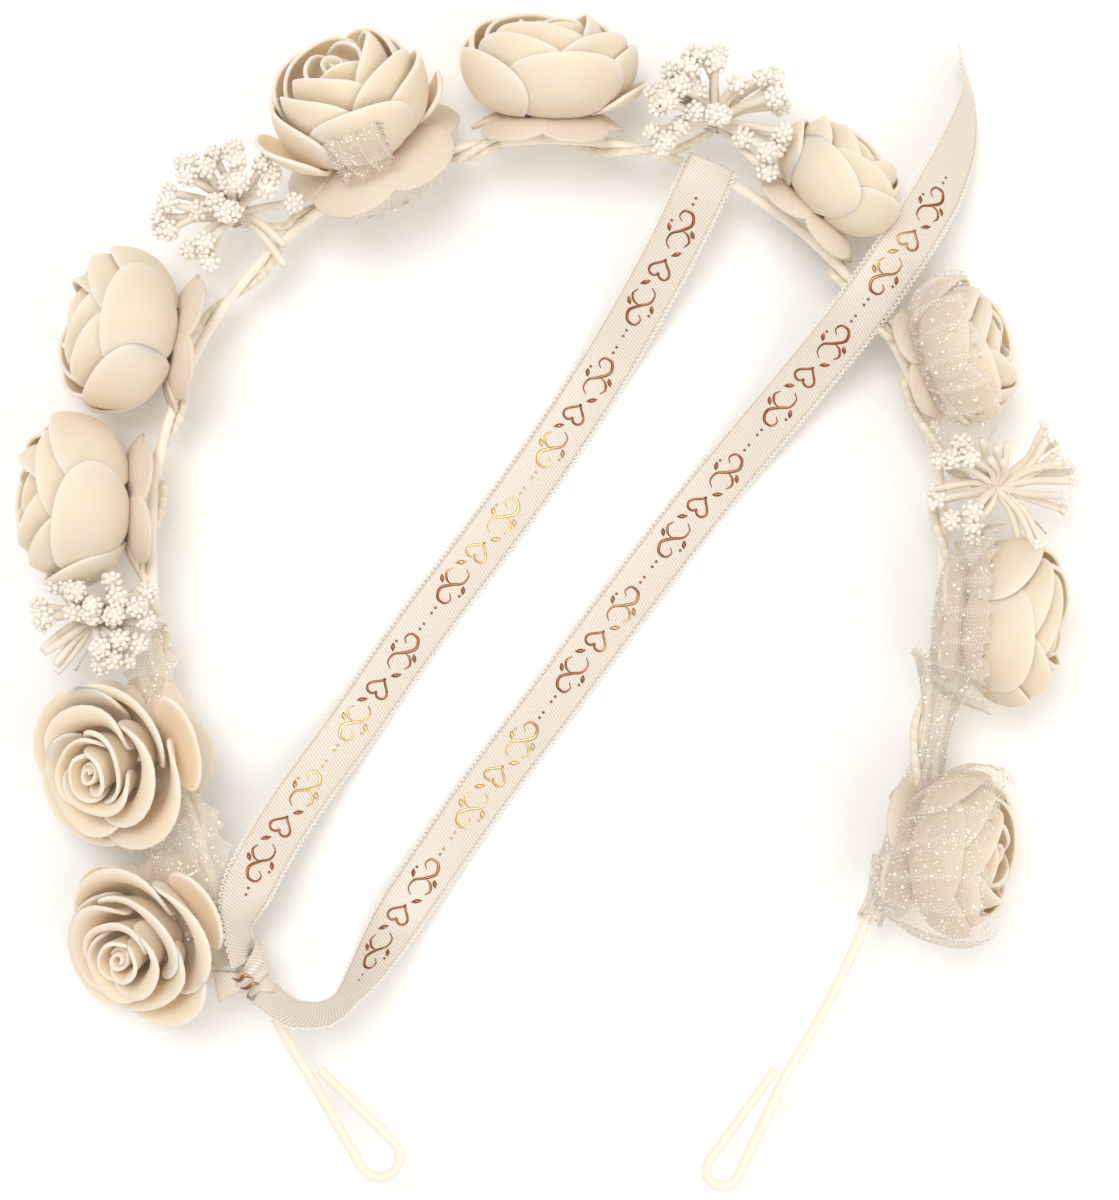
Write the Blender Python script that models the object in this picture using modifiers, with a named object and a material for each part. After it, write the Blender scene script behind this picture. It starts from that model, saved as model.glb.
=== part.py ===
"""Flower crown: foam roses, stamen sprays, glitter tulle and a satin ribbon on a coated wire band.

The crown lies flat on a table. Metres, +Z up. Its front points to -Y and the wearer's left is +X.
The origin is on the table, under the middle of the crown measured without its two ribbon tails.
"""

import math

import bmesh
import bpy
from mathutils import Matrix, Vector

MM = 0.001

# Clearances
GAP = 0.3 * MM  # between pieces that touch on the real crown
BUD_CLEARANCE = 1.0 * MM  # from the bud to the foam petals around it

# Wire band: a half circle at the front, then two arms that curve in to an eye at each end
WIRE_DIAMETER = 2.2 * MM
WIRE_STEP = 7.5 * MM  # between the points that its curve is drawn through
WIRE_HEIGHT = 13.0 * MM  # centre line above the plane that the flowers are set from
BAND_RADIUS = 82.5 * MM
ARM_RADIUS = 209.0 * MM
ARM_LENGTH = 119.0 * MM
BARE_LENGTH_LEFT = 11.6 * MM  # from the place where the bare wire flexes to the neck of the eye
BARE_LENGTH_RIGHT = 33.6 * MM
EYE_LENGTH_LEFT = 26.5 * MM
EYE_LENGTH_RIGHT = 27.0 * MM
EYE_RADIUS_LEFT = 4.3 * MM  # centre line of the round end of the eye
EYE_RADIUS_RIGHT = 3.4 * MM
EYE_TURN_LEFT = 8.0  # degrees that the eye turns inwards from the wire's own direction
EYE_TURN_RIGHT = 1.0
EYE_STEPS = 12

# Roses, each of foam discs threaded on a covered wire stem
FOAM = 1.2 * MM
PETALS = 5  # in the cup, and behind it
DISH = 3.4 * MM  # how far the rim of the base petals stands forward of their middle
BASE_NOTCH = 0.16  # share of the radius that the rim of the base petals pulls in between them
CUP_NOTCH = 0.05
CUP_RIPPLE = 1.6 * MM  # how far the rim of the cup drops between its petals
CUP_BULGE = ((0.52, 0.12), (0.9, 0.4), (1.0, 0.68), (0.93, 1.0))  # shares of its radius and depth
BUD_EGG = ((0, 0), (0.5, 0.1), (0.86, 0.4), (0.9, 0.78), (0.5, 1.0), (0, 1.0))
BUD_RISE = 0.6 * MM  # above the rim of the cup
STEM_DIAMETER = 1.8 * MM
STEM_HOLE_CLEARANCE = 0.5 * MM  # all round the stem, where it passes through the foam
STEM_DROP = 2.0 * MM  # straight length of stem behind the base petals
STEM_LEAD = 5.5 * MM  # length of band over which the stem swings in beside the wire
STEM_SWING = 0.8 * MM  # how far out it still is at the end of that lead
STEM_RUN = 9.0 * MM  # length that lies along the wire

# Stamen sprays, tied round the middle
STAMEN_DIAMETER = 1.7 * MM
STAMEN_LENGTH = 13.0 * MM  # from the waist to the middle of a head
STAMEN_HEAD = 5.0 * MM
STAMENS = 8
GOLDEN_ANGLE = 137.5  # degrees from one stamen to the next, which spreads them evenly
WAIST_DIAMETER = 4.4 * MM
WAIST_LENGTH = 3.4 * MM
TIE_DIAMETER = 0.8 * MM

# Satin ribbon
RIBBON_WIDTH = 10.0 * MM
RIBBON_THICKNESS = 0.5 * MM
KNOT_PLACE = 224.5 * MM
KNOT_BULK = 2.8 * MM  # thickness of the ribbon wrapped round the wire
KNOT_LENGTH = 4.2 * MM

# Glitter tulle
TULLE = 0.5 * MM
VEIL_CLEARANCE = 0.9 * MM  # from the foam petals to the inside of the veil
SLEEVE_RADIUS = 4.6 * MM
SLEEVE_OFFSET = 1.0 * MM  # towards the flowers, so that the sleeve holds the wire and the stems
# name: the places on the band, in mm, between which a sleeve reaches
SLEEVES = {
    "tulle_wrap_right": (-162, -180),
    "tulle_leaf_left": (187, 200),
}
# name: the rose that a veil covers, and the degrees round it where the veil starts and how far it goes
VEILS = {
    "tulle_veil_right_upper": ("rose_right_upper", 20, 120),
    "tulle_veil_right_side": ("rose_right_side", 30, 100),
    "tulle_veil_right_back": ("rose_right_back", 10, 160),
}

# name: place along the band (mm from the front, + to the wearer's left), distance outside the wire,
# lift above it, bearing (degrees from straight out, + away from the front), elevation, cup radius,
# cup depth, base petal radius, and the way its stem runs along the band (+ towards the left end)
ROSES = {
    "rose_front": (0.0, 5.4, 0.0, 0, 20, 17.3, 18.5, 15.8, 1),
    "rose_front_left": (35.4, 6.5, 2.5, 0, 40, 15.0, 21.0, 22.0, -1),
    "rose_left_upper": (90.4, 5.6, 0.0, 18, 17, 16.0, 21.0, 15.2, -1),
    "rose_left_side": (123.3, 5.6, 0.0, 4, 17, 17.0, 21.0, 15.2, -1),
    "rose_left_lower": (174.0, 8.6, -1.0, 13, 60, 16.6, 17.0, 17.0, -1),
    "rose_left_back": (208.6, 14.4, -5.0, 15, 57, 16.4, 17.0, 16.5, -1),
    "rose_front_right": (-56.2, 5.4, 0.0, 3, 17, 13.2, 16.0, 13.6, -1),
    "rose_right_upper": (-94.6, 5.4, 0.0, 6, 22, 14.0, 15.0, 13.4, 1),
    "rose_right_side": (-146.3, 5.4, 0.0, 0, 15, 16.6, 19.0, 15.4, 1),
    "rose_right_back": (-194.0, 5.4, 0.0, -12, 25, 16.0, 17.0, 15.6, 1),
}

# name: place along the band, distance outside the wire, lift, bearing, elevation, and spread
SPRAYS = {
    "stamens_left_front": (63.8, 9.0, 3.0, -6, 38, 66),
    "stamens_left_side": (145.4, 10.6, 3.0, 22, 62, 44),
    "stamens_front_right": (-31.8, 8.6, 4.5, 0, 42, 56),
    "stamens_right_side": (-121.0, 10.2, 2.5, -8, 30, 46),
}

# The tails lie as they fall: points along the middle of the ribbon, and its lean in degrees, in mm
TAIL_SHORT = [
    (62.5, 88.6, 15.6, 0),
    (64.0, 81.5, 16.0, 0),
    (61.6, 71.9, 14.4, 0),
    (53.6, 57.3, 7.6, 0),
    (41.1, 39.6, 1.6, 0),
    (26.6, 18.8, 0.5, 0),
    (14.1, 2.1, 0.5, 0),
    (0.5, -16.7, 0.5, 0),
    (-13.0, -37.5, 1.6, 0),
    (-24.5, -57.3, 9.0, 0),
    (-31.2, -70.6, 15.0, 0),
    (-34.2, -77.4, 15.4, 0),
]
TAIL_LONG = [
    (59.6, 94.4, 15.6, 0),
    (51.6, 99.4, 15.0, 0),
    (42.2, 96.9, 10.6, 0),
    (30.7, 79.2, 2.8, 0),
    (14.1, 55.2, 0.7, 0),
    (-2.6, 32.8, 0.7, 0),
    (-19.3, 10.4, 0.7, 0),
    (-35.9, -11.0, 0.7, 0),
    (-52.6, -31.3, 6.6, 0),
    (-63.6, -45.0, 15.0, 0),
    (-69.6, -53.2, 16.4, 0),
    (-75.5, -62.0, 15.8, 0),
    (-82.0, -72.5, 11.8, 14),
    (-87.0, -83.3, 8.2, 40),
    (-88.9, -92.7, 6.0, 66),
    (-87.2, -102.7, 5.2, 80),
]

UP = Vector((0, 0, 1))
WIRE_RADIUS = WIRE_DIAMETER / 2
STEM_RADIUS = STEM_DIAMETER / 2
HALF_FRONT = math.pi / 2 * BAND_RADIUS
BAND_END = HALF_FRONT + ARM_LENGTH

FOAM_CREAM = ("foam_cream", (0.86, 0.78, 0.62), 0.75)
FOAM_SHADE = ("foam_shade", (0.80, 0.72, 0.58), 0.8)
WIRE_WHITE = ("wire_white", (0.88, 0.80, 0.66), 0.35)
STEM_WHITE = ("stem_white", (0.84, 0.76, 0.62), 0.6)
STAMEN_WHITE = ("stamen_white", (0.88, 0.82, 0.72), 0.6)
TIE_SILVER = ("tie_silver", (0.75, 0.72, 0.66), 0.3)
SATIN = ("satin", (0.62, 0.54, 0.41), 0.35)
TULLE_WHITE = ("tulle_white", (0.80, 0.76, 0.66), 0.5)


def clear_scene():
    for obj in list(bpy.data.objects):
        bpy.data.objects.remove(obj, do_unlink=True)


def collection(name):
    made = bpy.data.collections.new(name)
    bpy.context.scene.collection.children.link(made)
    return made


def material(name, finish):
    """A material of the object's own: its name, its linear colour, and its roughness."""
    kind, colour, roughness = finish
    made = bpy.data.materials.new(f"{name}_{kind}")
    made.use_nodes = True
    shader = made.node_tree.nodes["Principled BSDF"]
    shader.inputs["Base Color"].default_value = (*colour, 1)
    shader.inputs["Roughness"].default_value = roughness
    shader.inputs["Metallic"].default_value = 1.0 if finish is TIE_SILVER else 0.0
    return made


def add(name, data, finish, parent):
    obj = bpy.data.objects.new(name, data)
    obj.data.materials.append(material(name, finish))
    obj.parent = parent
    CROWN_PARTS.objects.link(obj)
    return obj


def seat(name, matrix, parent):
    """An empty that stands where a piece is fixed, with +Z the way the piece faces."""
    empty = bpy.data.objects.new(name, None)
    empty.empty_display_size = 5 * MM
    empty.parent = parent
    empty.matrix_local = matrix
    CROWN_PARTS.objects.link(empty)
    return empty


def band(place):
    """The centre line of the wire at a length from the front: its point, its way along and its way out."""
    side = -1 if place < 0 else 1
    length = abs(place)
    if length <= HALF_FRONT:
        turn = length / BAND_RADIUS
        point = Vector((BAND_RADIUS * math.sin(turn), -BAND_RADIUS * math.cos(turn), 0))
        along = Vector((math.cos(turn), math.sin(turn), 0))
    else:
        turn = (length - HALF_FRONT) / ARM_RADIUS
        x = BAND_RADIUS - ARM_RADIUS + ARM_RADIUS * math.cos(turn)
        point = Vector((x, ARM_RADIUS * math.sin(turn), 0))
        along = Vector((-math.sin(turn), math.cos(turn), 0))
    point.x *= side
    along.x *= side
    point.z = WIRE_HEIGHT
    out = Vector((along.y, -along.x, 0)) * side
    return point, along, out


def facing(place, distance, lift, bearing, elevation):
    """Matrix of a flower's seat: its middle, +Z the way it faces, and +Y as near to up as that allows."""
    point, along, out = band(place)
    bearing = math.radians(bearing)
    level = out * math.cos(bearing) + along * math.sin(bearing)
    tilt = math.radians(elevation)
    ahead = level * math.cos(tilt) + UP * math.sin(tilt)
    across = UP.cross(ahead).normalized()
    turn = Matrix((across, ahead.cross(across), ahead)).transposed().to_4x4()
    return Matrix.Translation(point + out * distance + UP * lift) @ turn


def smooth_path(points, steps):
    """Points on a Catmull-Rom curve through the given ones, with steps to each stretch."""
    ends = [points[0] * 2 - points[1], *points, points[-1] * 2 - points[-2]]
    path = []
    for a, b, c, d in zip(ends, ends[1:], ends[2:], ends[3:]):
        for step in range(steps):
            t = step / steps
            bend = (a * 2 - b * 5 + c * 4 - d) * t**2 + (b * 3 - a - c * 3 + d) * t**3
            path.append((b * 2 + (c - a) * t + bend) / 2)
    return path + [points[-1]]


def tube(name, points, radius, finish, parent, resolution=2):
    """A round wire with closed ends along the points."""
    curve = bpy.data.curves.new(name, "CURVE")
    curve.dimensions = "3D"
    curve.bevel_depth = radius
    curve.bevel_resolution = resolution
    curve.use_fill_caps = True
    spline = curve.splines.new("POLY")
    spline.points.add(len(points) - 1)
    for spot, point in zip(spline.points, points):
        spot.co = (*point, 1)
    spline.use_smooth = True
    return add(name, curve, finish, parent)


def turned(profile, steps, arc=2 * math.pi, start=0.0):
    """A surface turned about +Z from (radius, height) pairs that run from its middle outwards."""
    bm = bmesh.new()
    verts = [
        bm.verts.new((r * math.cos(start), r * math.sin(start), z)) for r, z in profile
    ]
    edges = [bm.edges.new(pair) for pair in zip(verts, verts[1:])]
    bmesh.ops.spin(
        bm, geom=verts + edges, cent=(0, 0, 0), axis=(0, 0, 1), dvec=(0, 0, 0), angle=arc, steps=steps
    )
    bmesh.ops.remove_doubles(bm, verts=bm.verts, dist=0.01 * MM)
    bmesh.ops.recalc_face_normals(bm, faces=bm.faces)
    lowest = min(bm.faces, key=lambda face: face.calc_center_median().z)
    if lowest.normal.z > 0:
        bmesh.ops.reverse_faces(bm, faces=bm.faces)
    return bm


def lobed(bm, lobes, notch, ripple, height):
    """Pulls the rim in between the lobes by a share of its radius, and drops it there by ripple."""
    for vert in bm.verts:
        angle = math.atan2(vert.co.y, vert.co.x)
        between = abs(math.sin(lobes * angle / 2)) ** 2
        rise = min(1.0, max(0.0, vert.co.z / height))
        vert.co.x *= 1 - notch * between * rise
        vert.co.y *= 1 - notch * between * rise
        vert.co.z -= ripple * between * rise


def finished(name, bm, finish, parent, wall=None):
    """The mesh as an object, with a wall inside its surface where one is given."""
    mesh = bpy.data.meshes.new(name)
    bm.to_mesh(mesh)
    bm.free()
    mesh.shade_smooth()
    obj = add(name, mesh, finish, parent)
    if wall:
        shell = obj.modifiers.new("wall", "SOLIDIFY")
        shell.thickness = wall
        shell.offset = -1
    return obj


def cup_profile(radius, depth, hole):
    """Outside of the foam petals: (radius, height) from the stem hole to the rim."""
    return [(hole, 0), *((radius * r, depth * z) for r, z in CUP_BULGE)]


def stem_path(frame, bottom, place, run):
    """From under the bud, back through the base petals, then in beside the wire and along it."""
    ahead = frame.col[2].to_3d()
    middle = frame.translation
    path = [middle + ahead * bottom, middle, middle - ahead * STEM_DROP]
    beside = WIRE_RADIUS + STEM_RADIUS + GAP
    for length, swing in ((0, STEM_SWING), (STEM_RUN / 2, 0), (STEM_RUN, 0)):
        point, _, out = band(place + run * (STEM_LEAD + length))
        path.append(point + out * (beside + swing))
    return smooth_path(path, 2)


def rose(name, place, distance, lift, bearing, elevation, radius, depth, base_radius, run):
    """Base petals, cupped petals and a bud, threaded on a stem that lies along the wire."""
    frame = facing(place * MM, distance * MM, lift * MM, bearing, elevation)
    holder = seat(f"{name}_seat", frame, CROWN)
    radius, depth, base_radius = radius * MM, depth * MM, base_radius * MM
    hole = STEM_RADIUS + STEM_HOLE_CLEARANCE

    base = turned([(hole, 0), (base_radius * 0.5, DISH * 0.15), (base_radius, DISH)], 15)
    lobed(base, PETALS, BASE_NOTCH, 0.0, DISH)
    finished(f"{name}_base_petals", base, FOAM_SHADE, holder, FOAM)

    lift_cup = FOAM + GAP
    cup = turned(cup_profile(radius, depth - lift_cup, hole), 15)
    lobed(cup, PETALS, CUP_NOTCH, CUP_RIPPLE, depth)
    petals = finished(f"{name}_petals", cup, FOAM_CREAM, holder, FOAM)
    petals.location.z = lift_cup

    bottom = lift_cup + FOAM + GAP + BUD_CLEARANCE
    mouth = radius * CUP_BULGE[-1][0] * (1 - CUP_NOTCH)
    width = mouth - FOAM - BUD_CLEARANCE
    height = depth - bottom + BUD_RISE
    egg = turned([(width * r, height * z) for r, z in BUD_EGG], 10)
    bud = finished(f"{name}_bud", egg, FOAM_CREAM, holder)
    bud.location.z = bottom

    path = stem_path(frame, bottom - GAP, place * MM, run)
    tube(f"{name}_stem", path, STEM_RADIUS, STEM_WHITE, CROWN, 1)


def spray(name, place, distance, lift, bearing, elevation, spread):
    """Stamens with bead heads, gathered in a waist that a thin wire ties, on a stem along the band."""
    frame = facing(place * MM, distance * MM, lift * MM, bearing, elevation)
    holder = seat(f"{name}_seat", frame, CROWN)
    waist = rod(WAIST_DIAMETER, WAIST_LENGTH, 10)
    body = finished(f"{name}_spray", waist, STAMEN_WHITE, holder)
    for number in range(STAMENS):
        tilt = math.radians(spread) * math.sqrt((number + 0.3) / STAMENS)
        turn = number * math.radians(GOLDEN_ANGLE)
        level = math.sin(tilt)
        way = Vector((level * math.cos(turn), level * math.sin(turn), math.cos(tilt)))
        stalk = rod(STAMEN_DIAMETER, STAMEN_LENGTH, 5)
        bmesh.ops.translate(stalk, verts=stalk.verts, vec=(0, 0, STAMEN_LENGTH / 2))
        head = Matrix.Translation((0, 0, STAMEN_LENGTH))
        turn_to(stalk, way)
        join(body, stalk, "stalk")
        knob = bmesh.new()
        bmesh.ops.create_uvsphere(knob, u_segments=6, v_segments=4, radius=STAMEN_HEAD / 2, matrix=head)
        turn_to(knob, way)
        join(body, knob, "head")
    path = stem_path(frame, WAIST_LENGTH * 0.2, place * MM, 1 if place < 0 else -1)
    foot = tube(f"{name}_foot", path, STEM_RADIUS, STEM_WHITE, CROWN, 1)
    mesh = as_mesh(foot)
    bmesh.ops.transform(mesh, matrix=frame.inverted(), verts=mesh.verts)
    join(body, mesh, "foot")
    bpy.data.objects.remove(foot, do_unlink=True)

    ring = WAIST_DIAMETER / 2 + GAP + TIE_DIAMETER / 2
    bpy.ops.mesh.primitive_torus_add(
        major_radius=ring, minor_radius=TIE_DIAMETER / 2, major_segments=16, minor_segments=6
    )
    tie = bpy.context.object
    tie.name = f"{name}_tie"
    tie.data.materials.append(material(tie.name, TIE_SILVER))
    for home in tie.users_collection:
        home.objects.unlink(tie)
    CROWN_PARTS.objects.link(tie)
    tie.parent = holder
    tie.data.shade_smooth()


def rod(diameter, length, segments):
    """A closed cylinder about +Z, with its middle at the origin."""
    bm = bmesh.new()
    radius = diameter / 2
    bmesh.ops.create_cone(
        bm, cap_ends=True, segments=segments, radius1=radius, radius2=radius, depth=length
    )
    return bm


def as_mesh(obj):
    """A curve object's welded mesh."""
    graph = bpy.context.evaluated_depsgraph_get()
    mesh = bpy.data.meshes.new_from_object(obj.evaluated_get(graph))
    bm = bmesh.new()
    bm.from_mesh(mesh)
    bpy.data.meshes.remove(mesh)
    bmesh.ops.remove_doubles(bm, verts=bm.verts, dist=0.01 * MM)
    bmesh.ops.recalc_face_normals(bm, faces=bm.faces)
    return bm


def turn_to(bm, way):
    """Turns a shape so that its +Z points the given way."""
    bmesh.ops.transform(bm, matrix=way.to_track_quat("Z", "Y").to_matrix().to_4x4(), verts=bm.verts)


def join(body, bm, label):
    """Joins a closed shape to the body by a Boolean union."""
    mesh = bpy.data.meshes.new(f"{body.name}_{label}")
    bm.to_mesh(mesh)
    bm.free()
    piece = bpy.data.objects.new(mesh.name, mesh)
    piece.hide_render = True
    piece.display_type = "WIRE"
    piece.parent = body.parent
    JOINED.objects.link(piece)
    union = body.modifiers.new(label, "BOOLEAN")
    union.operation = "UNION"
    union.object = piece


def wire_run(start, end):
    """Points along a stretch of the band, close enough together to look round."""
    count = max(2, round(abs(end - start) / WIRE_STEP))
    return [band(start + (end - start) * n / count)[0] for n in range(count + 1)]


def eye(place, length, radius, turn):
    """Centre line of a wire eye: round the end of a narrow drop, and back to lie beside the neck."""
    neck, along, out = band(place)
    side = -out
    turn = math.radians(turn)
    ahead = along * math.cos(turn) + side * math.sin(turn)
    centre = neck + ahead * (length - radius)
    back = neck + side * (WIRE_DIAMETER + GAP)
    leave = tangent(neck, centre, radius, -1, side)
    arrive = tangent(back, centre, radius, 1, side)
    first = math.atan2(leave.dot(side), leave.dot(along))
    last = math.atan2(arrive.dot(side), arrive.dot(along))
    path = [neck.lerp(centre + leave, share) for share in (0.35, 0.7)]
    for step in range(EYE_STEPS + 1):
        angle = first + (last - first) * step / EYE_STEPS
        path.append(centre + along * radius * math.cos(angle) + side * radius * math.sin(angle))
    return path + [(centre + arrive).lerp(back, share) for share in (0.35, 0.7, 1)]


def tangent(point, centre, radius, way, side):
    """From a circle's centre to where a line from the point touches it, on the side that way names."""
    reach = point - centre
    distance = reach.length
    ahead = reach / distance
    across = side - ahead * side.dot(ahead)
    across.normalize()
    share = radius / distance
    return (ahead * share + across * way * math.sqrt(1 - share**2)) * radius


def wire_end(name, sign, bare, length, radius, turn):
    """The bare end of the wire with its eye, on an empty at the place where it flexes."""
    start = sign * (BAND_END - bare)
    flex = band(start)[0]
    joint = seat(f"{name}_flex", Matrix.Translation(flex), CROWN)
    path = wire_run(start + sign * GAP, sign * BAND_END) + eye(sign * BAND_END, length, radius, turn)
    tube(name, [point - flex for point in path], WIRE_RADIUS, WIRE_WHITE, joint)
    return start


def ribbon(name, points):
    """A flat satin tail along its points, which leans about its own length where it turns on edge."""
    path = smooth_path([Vector(point[:3]) * MM for point in points], 3)
    leans = [math.radians(point[3]) for point in points]
    curve = bpy.data.curves.new(name, "CURVE")
    curve.dimensions = "3D"
    curve.twist_mode = "Z_UP"
    curve.extrude = RIBBON_WIDTH / 2 - RIBBON_THICKNESS / 2
    curve.bevel_depth = RIBBON_THICKNESS / 2
    curve.bevel_resolution = 0
    curve.use_fill_caps = True
    spline = curve.splines.new("POLY")
    spline.points.add(len(path) - 1)
    for number, point in enumerate(path):
        stretch, step = divmod(number, 3)
        following = leans[min(stretch + 1, len(leans) - 1)]
        spline.points[number].co = (*point, 1)
        spline.points[number].tilt = math.pi / 2 + leans[stretch] + (following - leans[stretch]) * step / 3
    add(name, curve, SATIN, CROWN)


def knot(name, place):
    """The ribbon's knot, a thick ring of satin drawn tight round the wire."""
    point, along, _ = band(place)
    turn = along.to_track_quat("Z", "Y").to_matrix().to_4x4()
    holder = seat(f"{name}_seat", Matrix.Translation(point) @ turn, CROWN)
    inner = WIRE_RADIUS + GAP
    outer = inner + KNOT_BULK
    half = KNOT_LENGTH / 2
    profile = [(inner, -half * 0.7), (inner + KNOT_BULK * 0.5, -half), (outer, -half * 0.4)]
    profile += [(outer, half * 0.4), (inner + KNOT_BULK * 0.5, half), (inner, half * 0.7)]
    ring = turned([*profile, profile[0]], 16)
    bmesh.ops.recalc_face_normals(ring, faces=ring.faces)
    finished(name, ring, SATIN, holder)


def sleeve(name, start, end):
    """Tulle rolled round the wire and the stems beside it."""
    count = max(3, round(abs(end - start) / (4 * MM)))
    points = []
    for n in range(count + 1):
        point, _, out = band(start + (end - start) * n / count)
        points.append(point + out * SLEEVE_OFFSET)
    guide = tube(f"{name}_guide", points, SLEEVE_RADIUS, TULLE_WHITE, CROWN)
    guide.data.use_fill_caps = False
    shell = as_mesh(guide)
    bpy.data.objects.remove(guide, do_unlink=True)
    finished(name, shell, TULLE_WHITE, CROWN, TULLE)


def veil(name, rose_name, start, arc):
    """Tulle over the upper side of a rose's cupped petals, from its base towards its rim."""
    radius, depth = ROSES[rose_name][5] * MM, ROSES[rose_name][6] * MM
    clear = VEIL_CLEARANCE + TULLE
    lift_cup = FOAM + GAP
    profile = [(r + clear, z) for r, z in cup_profile(radius, depth - lift_cup, STEM_RADIUS)[2:]]
    cover = turned(profile, 10, math.radians(arc), math.radians(start))
    obj = finished(name, cover, TULLE_WHITE, bpy.data.objects[f"{rose_name}_seat"], TULLE)
    obj.location.z = lift_cup


def stand_on_table():
    """Moves the crown so that the origin lies under its middle, measured without the ribbon tails."""
    bpy.context.view_layer.update()
    graph = bpy.context.evaluated_depsgraph_get()
    corners = []
    for obj in CROWN_PARTS.objects:
        if obj.type == "EMPTY" or obj.name in TAILS:
            continue
        solid = obj.evaluated_get(graph)
        mesh = solid.to_mesh()
        corners += [solid.matrix_world @ vert.co for vert in mesh.vertices]
        solid.to_mesh_clear()
    low = Vector(min(corner[axis] for corner in corners) for axis in range(3))
    high = Vector(max(corner[axis] for corner in corners) for axis in range(3))
    CROWN.location = (-(low.x + high.x) / 2, -(low.y + high.y) / 2, -low.z)
    bpy.context.view_layer.update()


clear_scene()
CROWN_PARTS = collection("flower_crown")
JOINED = collection("joined_shapes")
CROWN = bpy.data.objects.new("crown", None)
CROWN_PARTS.objects.link(CROWN)
TAILS = ("ribbon_tail_short", "ribbon_tail_long")

left_start = wire_end(
    "wire_end_left", 1, BARE_LENGTH_LEFT, EYE_LENGTH_LEFT, EYE_RADIUS_LEFT, EYE_TURN_LEFT
)
right_start = wire_end(
    "wire_end_right", -1, BARE_LENGTH_RIGHT, EYE_LENGTH_RIGHT, EYE_RADIUS_RIGHT, EYE_TURN_RIGHT
)
tube("wire_band", wire_run(right_start, left_start), WIRE_RADIUS, WIRE_WHITE, CROWN)
for rose_name, sizes in ROSES.items():
    rose(rose_name, *sizes)
for spray_name, sizes in SPRAYS.items():
    spray(spray_name, *sizes)
knot("ribbon_knot", KNOT_PLACE)
ribbon(TAILS[0], TAIL_SHORT)
ribbon(TAILS[1], TAIL_LONG)
for sleeve_name, (start, end) in SLEEVES.items():
    sleeve(sleeve_name, start * MM, end * MM)
for veil_name, cover in VEILS.items():
    veil(veil_name, *cover)
stand_on_table()
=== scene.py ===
"""Flower crown: foam roses, stamen sprays, glitter tulle and a satin ribbon on a coated wire band.

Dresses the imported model. Metres, +Z up. The crown's front points to -Y and the wearer's left is +X.
"""

import math
import random

import bpy
import numpy as np
from mathutils import Matrix, Vector


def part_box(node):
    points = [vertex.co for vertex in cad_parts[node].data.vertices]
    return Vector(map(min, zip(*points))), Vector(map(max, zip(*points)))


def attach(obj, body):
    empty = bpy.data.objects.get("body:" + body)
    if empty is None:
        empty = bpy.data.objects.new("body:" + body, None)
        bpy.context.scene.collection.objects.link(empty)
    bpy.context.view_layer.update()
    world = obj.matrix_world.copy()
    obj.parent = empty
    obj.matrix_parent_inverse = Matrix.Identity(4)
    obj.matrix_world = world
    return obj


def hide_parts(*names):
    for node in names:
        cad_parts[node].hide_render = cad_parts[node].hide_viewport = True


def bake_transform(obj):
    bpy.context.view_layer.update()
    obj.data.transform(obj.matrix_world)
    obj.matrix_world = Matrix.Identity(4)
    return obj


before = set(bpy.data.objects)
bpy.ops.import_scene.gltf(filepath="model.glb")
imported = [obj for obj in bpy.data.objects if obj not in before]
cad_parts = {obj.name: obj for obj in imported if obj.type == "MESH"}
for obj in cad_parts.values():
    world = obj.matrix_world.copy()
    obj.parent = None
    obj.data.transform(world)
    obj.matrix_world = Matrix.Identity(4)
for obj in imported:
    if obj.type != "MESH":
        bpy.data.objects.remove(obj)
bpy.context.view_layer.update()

MM = 0.001
UP = Vector((0, 0, 1))

# ---- The table, the light and the camera ----
# A sheet of white card under two large soft lamps. The camera hangs straight above the crown,
# half a metre over the wire, with the crown's front at the top of the view.


def colour(code):
    """An sRGB hex colour as a linear colour with full alpha."""
    parts = [int(code[place : place + 2], 16) / 255 for place in (1, 3, 5)]
    linear = [c / 12.92 if c <= 0.04045 else ((c + 0.055) / 1.055) ** 2.4 for c in parts]
    return (*linear, 1)


def set_inputs(owner, node, inputs):
    """Sets a node's inputs, each to a value, to a hex colour, or to another node's output by a link."""
    for name, value in inputs.items():
        if isinstance(value, bpy.types.NodeSocket):
            owner.node_tree.links.new(value, node.inputs[name])
        else:
            node.inputs[name].default_value = colour(value) if isinstance(value, str) else value


def add_node(material, kind, inputs=None, **settings):
    """A node with its settings and its inputs."""
    made = material.node_tree.nodes.new(kind)
    for name, value in settings.items():
        setattr(made, name, value)
    set_inputs(material, made, inputs or {})
    return made


def shade(material, **inputs):
    """Sets the inputs of a material's Principled shader."""
    shader = material.node_tree.nodes["Principled BSDF"]
    set_inputs(material, shader, {name.replace("_", " "): value for name, value in inputs.items()})


def new_material(name, **finish):
    """A material, with the finish that is the same all over."""
    made = bpy.data.materials.new(name)
    made.use_nodes = True
    shade(made, **finish)
    return made


def mottled(material, dark, light, scale, detail, space=None):
    """Fine noise, and two colours clouded together by it, as the outputs of two nodes."""
    place = {} if space is None else {"Vector": space}
    noise = add_node(material, "ShaderNodeTexNoise", {**place, "Scale": scale, "Detail": detail})
    inputs = {"Fac": noise.outputs["Fac"], "Color1": dark, "Color2": light}
    return noise.outputs["Fac"], add_node(material, "ShaderNodeMixRGB", inputs).outputs["Color"]


def link(obj):
    """Puts an object in the scene."""
    bpy.context.scene.collection.objects.link(obj)
    return obj


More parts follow.
